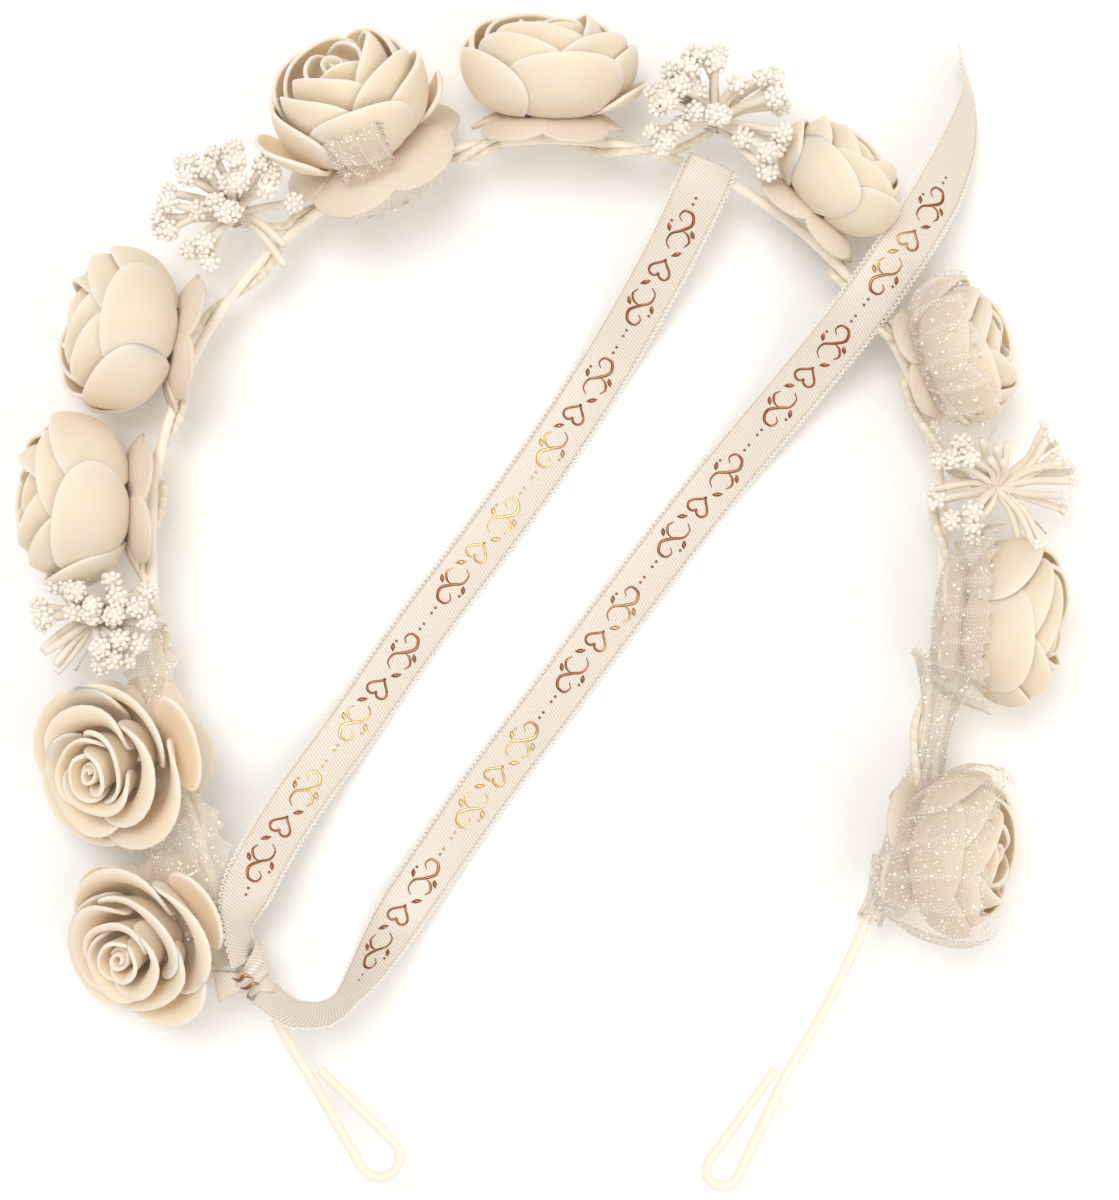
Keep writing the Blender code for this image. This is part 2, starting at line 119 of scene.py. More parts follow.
def mesh_object(name, shapes, *materials):
    """One smooth object from shapes, each of which is its points, its faces and, if not 0, its material."""
    points, faces, slots = [], [], []
    for shape in shapes:
        start = len(points)
        points.extend(shape[0])
        faces.extend([start + corner for corner in face] for face in shape[1])
        slots.extend([shape[2] if len(shape) > 2 else 0] * len(shape[1]))
    mesh = bpy.data.meshes.new(name)
    mesh.from_pydata(points, [], faces)
    mesh.polygons.foreach_set("material_index", slots)
    mesh.shade_smooth()
    for material in materials:
        mesh.materials.append(material)
    return link(bpy.data.objects.new(name, mesh))


wire_low, wire_high = [Vector(corner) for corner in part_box("wire_band")]
WIRE_RADIUS = 1.1 * MM
BAND_RADIUS = 82.5 * MM
wire_level = wire_low.z + WIRE_RADIUS
crown_centre = Vector(((wire_low.x + wire_high.x) / 2, wire_low.y + WIRE_RADIUS + BAND_RADIUS, wire_level))

TABLE_SIZE = 3.0
TABLE_DROP = 0.2 * MM
half = TABLE_SIZE / 2
card = new_material("white_card_matt", Roughness=0.9)
shade(card, Base_Color=mottled(card, "#FAFAF9", "#FFFFFF", 900, 3)[1])
table_corners = [(-half, -half, 0), (half, -half, 0), (half, half, 0), (-half, half, 0)]
table = mesh_object("table", [(table_corners, [(0, 1, 2, 3)])], card)
table.location.z = -TABLE_DROP

world = bpy.data.worlds.new("soft_room")
bpy.context.scene.world = world
world.use_nodes = True
set_inputs(world, world.node_tree.nodes["Background"], {"Color": "#FFFDF9", "Strength": 0.73})

# name: place, size, power, colour
LAMPS = {
    "window": ((0.17, -0.3, 0.92), 0.5, 3.7, "#FFFFFF"),
    "bounce": ((-0.5, 0.35, 0.7), 0.8, 2.0, "#FFF6EA"),
}
for name, (place, size, power, tint) in LAMPS.items():
    light = bpy.data.lights.new(name, "AREA")
    light.shape = "DISK"
    light.size = size
    light.energy = power
    light.color = colour(tint)[:3]
    lamp = link(bpy.data.objects.new(name, light))
    lamp.location = place
    lamp.rotation_euler = (crown_centre - lamp.location).to_track_quat("-Z", "Y").to_euler()

CAMERA_HEIGHT = 0.5
CAMERA_LENS = 72
VIEW_OFFSET = Vector((-2.5, 13.55)) * MM
camera = link(bpy.data.objects.new("camera", bpy.data.cameras.new("camera")))
camera.data.lens = CAMERA_LENS
camera.location = crown_centre + Vector((*VIEW_OFFSET, CAMERA_HEIGHT))
camera.rotation_euler = (0, 0, math.pi)
bpy.context.scene.camera = camera
bpy.context.scene.view_settings.view_transform = "Standard"

# ---- Satin ribbon tails ----
# Double-faced polyester satin ribbon 10 mm wide, with a picot edge of tiny thread loops. Both tails
# leave the knot on edge, turn flat and fall across the table, and rose gold foil is pressed on them.


def smooth_path(points, steps):
    """Points on a Catmull-Rom curve through the given ones, with steps to each stretch."""
    ends = [points[0] * 2 - points[1], *points, points[-1] * 2 - points[-2]]
    path = []
    for a, b, c, d in zip(ends, ends[1:], ends[2:], ends[3:]):
        for step in range(steps):
            t = step / steps
            bend = (a * 2 - b * 5 + c * 4 - d) * t**2 + (b * 3 - a - c * 3 + d) * t**3
            path.append((b * 2 + (c - a) * t + bend) / 2)
    return path + [points[-1]]


def along_path(path, values, step):
    """Points one step apart along a path, the values there, and the path's length."""
    spots = np.array([tuple(point) for point in path])
    reach = np.concatenate([[0], np.cumsum(np.linalg.norm(np.diff(spots, axis=0), axis=1))])
    places = np.linspace(0, reach[-1], max(2, round(reach[-1] / step)) + 1)
    even = np.stack([np.interp(places, reach, spots[:, axis]) for axis in range(3)], axis=1)
    return [Vector(point) for point in even], np.interp(places, reach, values), reach[-1]


def grid_faces(rows, columns, closed=False, first=0):
    """Faces between rows of points that start at the first; closed joins the two ends of each row."""
    faces = []
    for near in range(first, first + (rows - 1) * columns, columns):
        for c in range(columns if closed else columns - 1):
            d = (c + 1) % columns
            faces.append((near + c, near + d, near + columns + d, near + columns + c))
    return faces


def heading(path, number):
    """The way a path runs at one of its points."""
    return (path[min(number + 1, len(path) - 1)] - path[max(number - 1, 0)]).normalized()


def turned(side, up, angle):
    """The way at an angle from side towards up."""
    return side * math.cos(angle) + up * math.sin(angle)


def tube_shape(path, radii, sides=8):
    """A round rod along a path, with a radius for each point and closed ends."""
    points, side = [], heading(path, 0).orthogonal()
    for number, point in enumerate(path):
        ahead = heading(path, number)
        side = (side - ahead * side.dot(ahead)).normalized()
        for turn in np.linspace(0, 2 * math.pi, sides, endpoint=False):
            points.append(point + turned(side, ahead.cross(side), turn) * radii[number])
    ends = [tuple(range(sides))[::-1], tuple(range(len(points) - sides, len(points)))]
    return points, grid_faces(len(path), sides, closed=True) + ends


RIBBON_HALF = 5.0 * MM
RIBBON_THICK = 0.22 * MM
PICOT_PITCH = 1.1 * MM
PICOT_REACH = 0.8 * MM
PICOT_THREAD = 0.17 * MM
RIBBON_CROWN = 0.25 * MM

# Middle line of each tail in mm from the crown's centre, at its height above the underside of the
# flowers, and the degrees that the ribbon leans about its own length
SHORT_ROUTE = [
    (62.5, 88.6, 15.6, 68),
    (64.0, 81.5, 16.0, 68),
    (61.6, 71.9, 14.4, 12),
    (53.6, 57.3, 7.6, 0),
    (41.1, 39.6, 1.6, 0),
    (26.6, 18.8, 0.5, 0),
    (14.1, 2.1, 0.5, 0),
    (0.5, -16.7, 0.5, 0),
    (-13.0, -37.5, 1.6, 0),
    (-24.5, -57.3, 9.0, 0),
    (-31.2, -70.6, 15.0, 0),
    (-34.2, -77.4, 15.4, 0),
]
LONG_ROUTE = [
    (59.6, 94.4, 15.6, -64),
    (51.6, 99.4, 15.0, -70),
    (42.2, 96.9, 10.6, -68),
    (30.7, 79.2, 2.8, -10),
    (14.1, 55.2, 0.7, 0),
    (-2.6, 32.8, 0.7, 0),
    (-19.3, 10.4, 0.7, 0),
    (-35.9, -11.0, 0.7, 0),
    (-52.6, -31.3, 6.6, 0),
    (-63.6, -45.0, 15.0, 0),
    (-69.6, -53.2, 16.4, 0),
    (-75.5, -62.0, 15.8, 0),
    (-82.0, -72.5, 11.8, 14),
    (-87.0, -83.3, 8.2, 40),
    (-88.9, -92.7, 6.0, 66),
    (-87.2, -102.7, 5.2, 80),
]
WIRE_HEIGHT = 13.0 * MM  # from the underside of the flowers up to the wire's middle
underside = Vector((crown_centre.x, crown_centre.y, wire_level - WIRE_HEIGHT))


def ribbon_frames(route, step):
    """Middle, way across and way up of the ribbon at even steps along its route."""
    path = smooth_path([underside + Vector(spot[:3]) * MM for spot in route], 12)
    leans = np.interp(np.arange(len(path)) / 12, np.arange(len(route)), [spot[3] for spot in route])
    middles, leans, length = along_path(path, leans, step)
    frames = []
    for number, middle in enumerate(middles):
        ahead = heading(middles, number)
        level = UP.cross(ahead).normalized()
        across = Matrix.Rotation(math.radians(leans[number]), 3, ahead) @ level
        frames.append((middle, across, ahead.cross(across)))
    return frames, length


def on_ribbon(frames, step, along, across, rise=0.0):
    """The point at a length along the ribbon, a distance across it and a height over its face."""
    place = min(max(along / step, 0), len(frames) - 1.001)
    number = int(place)
    (a, side_a, up_a), (b, side_b, up_b) = frames[number], frames[number + 1]
    share = place - number
    crown = RIBBON_CROWN * (1 - (across / RIBBON_HALF) ** 2)
    side, up = side_a.lerp(side_b, share), up_a.lerp(up_b, share)
    return a.lerp(b, share) + side * across + up * (rise + crown)


def ribbon_strip(frames, step, columns):
    """The cloth of a tail as rows across it, and where each point is, for the weave."""
    rows, weave = [], []
    for number in range(len(frames)):
        for across in np.linspace(RIBBON_HALF, -RIBBON_HALF, columns):
            rows.append(on_ribbon(frames, step, number * step, across))
            weave.append((number * step / MM, across / MM))
    return rows, weave


def lay_weave(obj, weave):
    """Keeps each point's place on the flat cloth, in mm, as the UV map that the weave is drawn in."""
    layer = obj.data.uv_layers.new(name="cloth")
    for loop in obj.data.loops:
        layer.data[loop.index].uv = weave[loop.vertex_index]


def picot(frames, step, along, side):
    """One loop of thread standing out of the ribbon's edge."""
    path = []
    for turn in np.linspace(0, math.pi, 6):
        reach = RIBBON_HALF - 0.1 * MM + PICOT_REACH * math.sin(turn)
        path.append(on_ribbon(frames, step, along - PICOT_PITCH * 0.36 * math.cos(turn), side * reach))
    return tube_shape(path, [PICOT_THREAD] * len(path), 5)


def thicken(obj, thickness, offset=-1):
    """Gives cloth, foil or foam its thickness."""
    sheet = obj.modifiers.new("thickness", "SOLIDIFY")
    sheet.thickness = thickness
    sheet.offset = offset


def settle(piece, slot, *nodes):
    """Fixes a piece to the crown's own body, and has it stand for the solids named."""
    if nodes:
        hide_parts(*nodes)
    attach(piece, "root")


# Woven satin: threads that lie long on its face give a soft shine in fine slanting ribs. The ribs are the
# weave's pattern, and their colour is partly painted: the paler ribs are painted sheen and the darker ones
# painted shade
satin = new_material("satin_woven_champagne", Roughness=0.36, IOR=1.5)
shade(satin, Sheen_Weight=0.25, Sheen_Tint="#FFF3E0", Sheen_Roughness=0.35)
SATIN_RIB = 0.62  # mm from one fine slanting rib to the next, drawn wider than the real 0.2
SATIN_SLANT = 22  # degrees that the ribs lean from straight across
WAVE_BANDS = 3.183  # bands that a wave texture draws to one unit at scale 1
cloth = add_node(satin, "ShaderNodeUVMap", uv_map="cloth").outputs["UV"]
slant = add_node(satin, "ShaderNodeMapping", {"Vector": cloth, "Rotation": (0, 0, math.radians(SATIN_SLANT))})
rib_size = {"Scale": 1 / SATIN_RIB / WAVE_BANDS, "Distortion": 0.6, "Detail Scale": 3}
ribs = add_node(satin, "ShaderNodeTexWave", {"Vector": slant.outputs["Vector"], **rib_size}).outputs["Fac"]
# painted light: each rib runs from a darker painted shade to a paler painted sheen
rib_sheen_and_shade_mix = add_node(satin, "ShaderNodeMixRGB", {"Fac": ribs, "Color1": "#C0B5A8", "Color2": "#F0E7DD"})
rib_height = add_node(satin, "ShaderNodeBump", {"Height": ribs, "Strength": 0.35, "Distance": 0.06 * MM})
shade(
    satin,
    Base_Color=mottled(satin, rib_sheen_and_shade_mix.outputs["Color"], "#E3D8CA", 1.6, 4, cloth)[1],
    Normal=rib_height.outputs["Normal"],
)

# Twisted polyester thread: a little whiter than the cloth and matt
picot_thread = new_material("picot_thread_twisted", Roughness=0.45, Sheen_Weight=0.3)
shade(picot_thread, Base_Color=mottled(picot_thread, "#EDE4D6", "#FFFBF4", 2500, 2)[1])

# Hot-pressed metal foil: mirror-like, and painted from dark brown to bright gold, as painted shade and
# painted reflection clouded over it
foil = new_material("foil_pressed_rose_gold", Metallic=1.0, Roughness=0.3)
# painted reflection: stretches of the foil are painted bright gold where a broad noise passes a threshold
FOIL_PAINTED_FLASH = 42  # mm from one stretch that flashes gold to the next
foil_space = add_node(foil, "ShaderNodeTexCoord").outputs["Object"]
painted_flash_size = {"Scale": 1000 / FOIL_PAINTED_FLASH, "Detail": 1}
painted_flash_noise = add_node(foil, "ShaderNodeTexNoise", {"Vector": foil_space, **painted_flash_size})
painted_flash_edges = {"Value": painted_flash_noise.outputs["Fac"], "From Min": 0.47, "From Max": 0.56}
foil_painted_flash = add_node(foil, "ShaderNodeMapRange", painted_flash_edges).outputs["Result"]
# painted shade: fine noise clouds the copper with dark brown
foil_copper_and_painted_shade = mottled(foil, "#6E3A2E", "#C98A66", 420, 5)[1]
foil_painted_light_mix = {"Fac": foil_painted_flash, "Color1": foil_copper_and_painted_shade, "Color2": "#F3D595"}
shade(foil, Base_Color=add_node(foil, "ShaderNodeMixRGB", foil_painted_light_mix).outputs["Color"])

# The foil pattern: a scroll on each side of a heart, with leaves and dots. Strokes are points in mm
# along and across the ribbon from the heart's place; each is drawn again turned round the heart.
SCROLL = [(4.6, 0.4), (5.6, 1.6), (7.6, 1.5), (9.2, -0.2), (11.2, -1.7), (13.2, -0.9), (13.3, 0.9)]
SCROLL += [(11.9, 1.5), (11.0, 0.6)]
TENDRIL = [(6.2, -2.2), (7.6, -2.7), (8.9, -1.7), (9.2, -0.2)]
LEAVES = [((7.9, 2.0), (9.6, 3.0)), ((10.0, -2.0), (8.6, -3.3)), ((3.3, -0.6), (5.0, -2.4))]
LEAF_HALF = 0.45
DOTS = [(15.2, 0.0), (16.6, 0.0), (10.2, 2.6)]
DOT_HALF = 0.3
HEART_SIZE = 2.3
STROKE = 0.3
PATTERN_PITCH = 36.0
FOIL_RISE = 0.05 * MM


def stroke_shape(place, line, widths):
    """A flat line of foil: place gives the point for a spot along and across, line is its middle."""
    points = []
    for number, spot in enumerate(line):
        ahead = heading(line, number)
        side = Vector((-ahead.y, ahead.x, 0)) * widths[number]
        points += [place(spot + side), place(spot - side)]
    return points, grid_faces(len(line), 2)


def foil_pattern(place):
    """One repeat of the pattern as shapes."""
    strokes = []
    for turn in (1, -1):
        for line, swell in ((SCROLL, 1.25), (TENDRIL, 0.9)):
            path = smooth_path([Vector((x * turn, y * turn, 0)) for x, y in line], 6)
            swells = [math.sin(math.pi * share) ** 1.5 * 0.6 for share in np.linspace(0, 1, len(path))]
            strokes.append((path, [STROKE * (0.35 + swell * s) for s in swells]))
        for root, tip in LEAVES:
            leaf = [Vector((*root, 0)).lerp(Vector((*tip, 0)), n / 6) * turn for n in range(7)]
            strokes.append((leaf, [LEAF_HALF * math.sin(math.pi * n / 6) + 0.01 for n in range(7)]))
        for x, y in DOTS:
            line = [Vector((x * turn + DOT_HALF * n / 4, y * turn, 0)) for n in range(-4, 5)]
            strokes.append((line, [DOT_HALF * math.sqrt(max(0.01, 1 - n * n / 16)) for n in range(-4, 5)]))
    outline = []
    for t in np.linspace(0, 2 * math.pi, 41):
        y = 13 * math.cos(t) - 5 * math.cos(2 * t) - 2 * math.cos(3 * t) - math.cos(4 * t)
        outline.append(Vector((-(y + 2) / 16, math.sin(t) ** 3, 0)) * HEART_SIZE)
    strokes.append((outline, [STROKE * 0.85] * len(outline)))
    return [stroke_shape(place, line, widths) for line, widths in strokes]


FRAME_STEP = 0.5 * MM
COLUMNS = 15
# each tail's route, and the mm from the knot to the middle of its first print
TAILS = {"short": (SHORT_ROUTE, 31.0), "long": (LONG_ROUTE, 42.0)}
for name, (route, first_pattern) in TAILS.items():
    frames, tail_length = ribbon_frames(route, FRAME_STEP)
    step = tail_length / (len(frames) - 1)
    cloth_points, weave = ribbon_strip(frames, step, COLUMNS)
    tail = mesh_object(f"ribbon_{name}_tail", [(cloth_points, grid_faces(len(frames), COLUMNS))], satin)
    lay_weave(tail, weave)
    thicken(tail, RIBBON_THICK)
    loops = round(tail_length / PICOT_PITCH) - 1
    picots = [picot(frames, step, (n + 0.8) * PICOT_PITCH, side) for n in range(loops) for side in (-1, 1)]
    edge = mesh_object(f"ribbon_{name}_picots", picots, picot_thread)
    prints = []
    for centre in np.arange(first_pattern, tail_length / MM - PATTERN_PITCH / 2, PATTERN_PITCH):
        prints += foil_pattern(
            lambda spot: on_ribbon(frames, step, (centre + spot.x) * MM, spot.y * MM, FOIL_RISE)
        )
    pressed = mesh_object(f"ribbon_{name}_foil", prints, foil)
    thicken(pressed, 0.04 * MM)
    settle(tail, "satin_ribbon", f"ribbon_tail_{name}")
    settle(edge, "satin_ribbon")
    settle(pressed, "satin_ribbon")

# ---- Coated wire band ----
# One steel wire in a smooth warm white plastic coat, 2.2 mm thick. It is bent to the shape of the
# head, and each end is turned back on itself into a narrow eye, with the cut end beside the neck.

ARM_RADIUS = 209.0 * MM
HALF_FRONT = math.pi / 2 * BAND_RADIUS
ARM_LENGTH = 119.0 * MM
BAND_END = HALF_FRONT + ARM_LENGTH
WIRE_GAP = 0.3 * MM


def band(place):
    """The wire's middle at a length from the front, + to the wearer's left; its way along; its way out."""
    side = -1 if place < 0 else 1
    length = abs(place)
    if length <= HALF_FRONT:
        turn = length / BAND_RADIUS
        point = Vector((BAND_RADIUS * math.sin(turn), -BAND_RADIUS * math.cos(turn), 0))
        along = Vector((math.cos(turn), math.sin(turn), 0))
    else:
        turn = (length - HALF_FRONT) / ARM_RADIUS
        x = BAND_RADIUS - ARM_RADIUS + ARM_RADIUS * math.cos(turn)
        point = Vector((x, ARM_RADIUS * math.sin(turn), 0))
        along = Vector((-math.sin(turn), math.cos(turn), 0))
    point.x *= side
    along.x *= side
    return crown_centre + point, along, Vector((along.y, -along.x, 0)) * side


def eye(place, length, radius, turn):
    """The wire's middle round the end of a narrow drop, and back to lie beside the neck."""
    neck, along, out = band(place)
    side = -out
    turn = math.radians(turn)
    centre = neck + (along * math.cos(turn) + side * math.sin(turn)) * (length - radius)
    back = neck + side * (2 * WIRE_RADIUS + WIRE_GAP)
    touches = []
    for point, way in ((neck, -1), (back, 1)):
        reach = point - centre
        ahead = reach.normalized()
        across = (side - ahead * side.dot(ahead)).normalized()
        share = radius / reach.length
        touches.append(ahead * share + across * way * math.sqrt(1 - share**2))
    first, last = [math.atan2(touch.dot(side), touch.dot(along)) for touch in touches]
    path = [neck.lerp(centre + touches[0] * radius, share) for share in (0.35, 0.7)]
    for angle in np.linspace(first, last, 25):
        path.append(centre + turned(along, side, angle) * radius)
    return path + [(centre + touches[1] * radius).lerp(back, share) for share in (0.35, 0.7, 1)]


# Plastic drawn over steel: smooth and softly glossy, with faint dents where it was bent
coat = new_material(
    "plastic_coated_warm_white",
    Roughness=0.32,
    IOR=1.46,
    Coat_Weight=0.15,
    Subsurface_Weight=0.15,
    Subsurface_Radius=(1.2 * MM, 0.9 * MM, 0.6 * MM),
)
coat_space = add_node(coat, "ShaderNodeTexCoord").outputs["Object"]
coat_drift, coat_tint = mottled(coat, "#F0E4D2", "#FBF4E8", 160, 4, coat_space)
coat_dents = add_node(coat, "ShaderNodeBump", {"Height": coat_drift, "Strength": 0.25, "Distance": 0.15 * MM})
shade(coat, Base_Color=coat_tint, Normal=coat_dents.outputs["Normal"])


def wire_shape(path, blunt):
    """The coated wire along its middle, with the coat rounded over where it was cut."""
    points, _, length = along_path(path, [0] * len(path), 0.9 * MM)
    radii = [WIRE_RADIUS] * len(points)
    if blunt:
        end, back = points[-1], (points[-2] - points[-1]).normalized()
        points[-1] = end + back * 0.35 * MM
        points += [end + back * 0.1 * MM, end]
        radii += [WIRE_RADIUS * 0.9, WIRE_RADIUS * 0.6]
    return tube_shape(points, radii, 16)


# name: side, length of bare wire before the eye, the eye's length, its radius, and its turn inwards
ENDS = {
    "left": (1, 11.6 * MM, 26.5 * MM, 4.3 * MM, 8.0),
    "right": (-1, 33.6 * MM, 27.0 * MM, 3.4 * MM, 1.0),
}
FLEX_LENGTH = 5.0 * MM
flex_places = {}
for name, (side, bare, eye_length, eye_radius, eye_turn) in ENDS.items():
    flex = side * (BAND_END - bare)
    flex_places[name] = flex
    start = flex - side * 2 * FLEX_LENGTH
    run = [band(place)[0] for place in np.linspace(start, side * BAND_END, 40)]
    path = run + eye(side * BAND_END, eye_length, eye_radius, eye_turn)
    wire_end = mesh_object(f"wire_end_{name}_coated", [wire_shape(path, True)], coat)
    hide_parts(f"wire_end_{name}")
    band(flex - side * FLEX_LENGTH)[0]
    band(flex + side * FLEX_LENGTH)[0]
    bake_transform(wire_end)
overlap = 2 * FLEX_LENGTH
middle = np.linspace(flex_places["right"] + overlap, flex_places["left"] - overlap, 160)
wire_band = mesh_object("wire_band_coated", [wire_shape([band(place)[0] for place in middle], False)], coat)
settle(wire_band, "coated_wire", "wire_band")

# ---- Ribbon knot ----
# The ribbon is folded lengthwise and knotted hard round the wire in front of the left eye. Two
# pleated turns lie over each other, and the end of a fold stands out to the side.

KNOT_PLACE = 224.5 * MM
knot_centre, knot_along, knot_out = band(KNOT_PLACE)


def wrap_shape(start, turns, radii, half_width, slide, pleats, depth, rows=46, columns=19):
    """A turn of pleated ribbon round the wire: its points, faces and places on the flat cloth."""
    points, weave = [], []
    for row in range(rows):
        share = row / (rows - 1)
        turn = math.radians(start) + share * turns * 2 * math.pi
        radial = turned(knot_out, UP, turn)
        radius = radii[0] + (radii[1] - radii[0]) * share
        pinch = 1 - 0.22 * math.sin(turn + 0.6)
        for column in range(columns):
            t = 1 - 2 * column / (columns - 1)
            fold = depth * math.cos(pleats * math.pi * t + 1.4 * share) * (1 - 0.35 * t * t)
            bulge = 0.9 * MM * (1 - t * t)
            spot = knot_centre + radial * (radius + fold + bulge)
            points.append(spot + knot_along * (t * half_width * pinch + slide * (share - 0.5)))
            weave.append((share * turns * 2 * math.pi * radius / MM, t * RIBBON_HALF / MM))
    return points, grid_faces(rows, columns), weave


def fold_shape(base, ahead, side, length, half_width, rise, rows=16, columns=13):
    """The rounded end of a folded ribbon that stands out of the knot."""
    points, weave = [], []
    for row in range(rows):
        share = row / (rows - 1)
        loop = math.pi * share
        for column in range(columns):
            t = 1 - 2 * column / (columns - 1)
            reach = length * math.sin(loop) ** 0.8
            height = rise * math.cos(loop) * (1 - 0.3 * t * t)
            spread = half_width * (0.55 + 0.45 * math.sin(loop))
            points.append(base + ahead * reach + side * t * spread + UP * height)
            weave.append((share * 2 * length / MM, t * RIBBON_HALF / MM))
    return points, grid_faces(rows, columns), weave


KNOT_TURNS = [
    wrap_shape(-160, 1.15, (1.9 * MM, 2.6 * MM), 4.6 * MM, 1.0 * MM, 2.0, 0.28 * MM),
    wrap_shape(-70, 0.75, (3.0 * MM, 3.4 * MM), 2.9 * MM, -6.5 * MM, 1.5, 0.35 * MM),
]
fold = fold_shape(
    knot_centre + knot_out * 2.0 * MM + UP * 1.2 * MM,
    (knot_out - knot_along * 0.25).normalized(),
    (knot_along + knot_out * 0.25).normalized(),
    6.0 * MM,
    3.4 * MM,
    1.3 * MM,
)
knot_parts = [*KNOT_TURNS, fold]
ribbon_knot = mesh_object("ribbon_knot_pleated", [shape[:2] for shape in knot_parts], satin)
lay_weave(ribbon_knot, [spot for part in knot_parts for spot in part[2]])
thicken(ribbon_knot, RIBBON_THICK, 0)
settle(ribbon_knot, "satin_ribbon", "ribbon_knot")

WRAP_RADIUS = 4.75  # mm from the wire's middle to the face of the outer turn
WRAP_TURN = 75  # degrees round the wire to the middle of the foil that shows


def on_wrap(spot):
    """A place on the knot's outer turn for the bits of foil that show there."""
    radial = turned(knot_out, UP, math.radians(WRAP_TURN) + spot.x / 4.2)
    return knot_centre + (radial * WRAP_RADIUS + knot_along * spot.y) * MM


knot_strokes = [
    [(-2.4, -1.6), (-1.0, -0.6), (0.4, -1.0), (1.6, 0.2)],
    [(-1.6, 0.9), (-0.2, 1.5), (1.2, 1.2), (2.2, 1.9)],
]
knot_prints = []
for line in knot_strokes:
    path = smooth_path([Vector((x, y, 0)) for x, y in line], 5)
    widths = [0.1 + 0.3 * math.sin(math.pi * n / (len(path) - 1)) for n in range(len(path))]
    knot_prints.append(stroke_shape(on_wrap, path, widths))
knot_foil = mesh_object("ribbon_knot_foil", knot_prints, foil)
thicken(knot_foil, 0.05 * MM)
settle(knot_foil, "satin_ribbon")

# ---- Foam roses ----
# Discs die-cut from soft sheet foam about a millimetre thick, pressed hot into cups and threaded on
# a covered stem: flat greyer discs behind, then five big petals, then smaller ones round a rolled heart.

FOAM_SHEET = 0.9 * MM


def node_points(node):
    """The corners of a solid, as an array."""
    return np.array([tuple(vertex.co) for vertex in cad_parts[node].data.vertices])


def rose_seat(name):
    """Where a rose stands: a matrix with +Z the way it faces and +Y near up, then its sizes."""
    base, cup, bud = [node_points(f"{name}_{part}") for part in ("base_petals", "petals", "bud")]
    ahead = Vector(bud.mean(axis=0) - base.mean(axis=0)).normalized()
    middle = Vector(base.mean(axis=0))
    middle += ahead * min((base - np.array(middle)) @ np.array(ahead))
    across = UP.cross(ahead).normalized()
    turn = Matrix((across, ahead.cross(across), ahead)).transposed()
    flat = [(points - np.array(middle)) @ np.array(turn) for points in (base, cup)]
    base_radius, cup_radius = [np.hypot(points[:, 0], points[:, 1]).max() for points in flat]
    return Matrix.Translation(middle) @ turn.to_4x4(), cup_radius, flat[1][:, 2].max(), base_radius


def side_line(corners, radius, depth):
    """The side view of a layer of petals as even points, and its length."""
    path = smooth_path([Vector((radius * r, 0, depth * z)) for r, z in corners], 8)
    even, _, length = along_path(path, [0] * len(path), 0.5 * MM)
    return even, length


def on_line(line, reach):
    """The point at a length along a side view, carried straight on past its ends."""
    even, length = line
    place = reach / length * (len(even) - 1)
    number = int(min(max(place, 0), len(even) - 2))
    return even[number] + (even[number + 1] - even[number]) * (place - number)


RINGS = (0.0, 0.22, 0.45, 0.66, 0.84, 0.95, 1.0)
SPOKES = 24
MOST_SQUARE = 1.22  # how far out the corners of a squared ring of petals stand, against its sides


def polar(radius, turn, height):
    """The point at a radius, a turn and a height about the upright through the middle."""
    return Vector((radius * math.cos(turn), radius * math.sin(turn), height))


def petal(line, turn, extent, press, dice):
    """One pressed disc of foam laid round a side view. Gives its points, its faces and the painted light on
    its rim.

    Its extent is the height of its middle and its half height, both along the line, and its half
    width. It swells by belly, lies over its neighbour by tuck, folds outwards at its lip by curl, is
    squared up by the share flat and ruffled by wave.
    """
    middle, up, across = extent
    belly, tuck, curl, flat, wave = press
    points, rim_light_tones = [], []
    wide = max(on_line(line, middle).x, 0.4 * across)
    phase = dice.uniform(0, 2 * math.pi)
    for ring in RINGS:
        for spoke in range(SPOKES if ring else 1):
            angle = 2 * math.pi * spoke / SPOKES
            a, b = ring * math.cos(angle), ring * math.sin(angle)
            spot = on_line(line, middle + b * up)
            swing = a * across * (1 + 0.1 * b) / wide
            squared = min(1 / max(0.55, math.cos(swing)), MOST_SQUARE)
            radius = max(spot.x, 0.6 * MM) * (1 - flat + flat * squared)
            lip = max(0.0, (b - 0.2) / 0.8) ** 2
            edge = max(0.0, (ring - 0.7) / 0.3)
            radius += belly * (1 - ring**2) + tuck * a + curl * lip
            radius += wave * edge * math.sin(3 * angle + phase)
            height = spot.z - 0.45 * abs(curl) * lip**2 + 0.3 * wave * edge * math.cos(2 * angle + phase)
            points.append(polar(radius, turn + swing, height))
            rim_light_tones.append(edge**2)
    faces = [(0, 1 + (n + 1) % SPOKES, 1 + n) for n in range(SPOKES)]
    return points, faces + grid_faces(len(RINGS) - 1, SPOKES, closed=True, first=1), rim_light_tones


def disc_middle(line, reach, drop):
    """The round middle of a die-cut disc, where its lobes join, a little behind them."""
    points = []
    for ring in (0.02, 0.4, 0.75, 1.0):
        spot = on_line(line, reach * ring)
        points += [polar(spot.x, -2 * math.pi * spoke / SPOKES, spot.z - drop) for spoke in range(SPOKES)]
    return points, grid_faces(4, SPOKES, closed=True), [0.0] * len(points)


def heart(radius, low, high, turns, start, slant):
    """The rolled strip of foam in the middle of a rose, with painted light along its top edge."""
    points, rim_light_tones = [], []
    rows, columns = 7, 40
    for row in range(rows):
        share = row / (rows - 1)
        for column in range(columns):
            along = column / (columns - 1)
            turn = start + along * turns * 2 * math.pi
            reach = radius * (0.28 + 0.72 * along) * (0.72 + 0.36 * share - 0.12 * share**3)
            top = high - slant * math.sin(turn - start) * 0.5 - slant * along
            points.append(polar(reach, turn, low + (top - low) * share))
            rim_light_tones.append(share**6)
    return points, [face[::-1] for face in grid_faces(rows, columns)], rim_light_tones


FOAM_PORE = 0.45  # mm between the closed cells that show as a fine grain


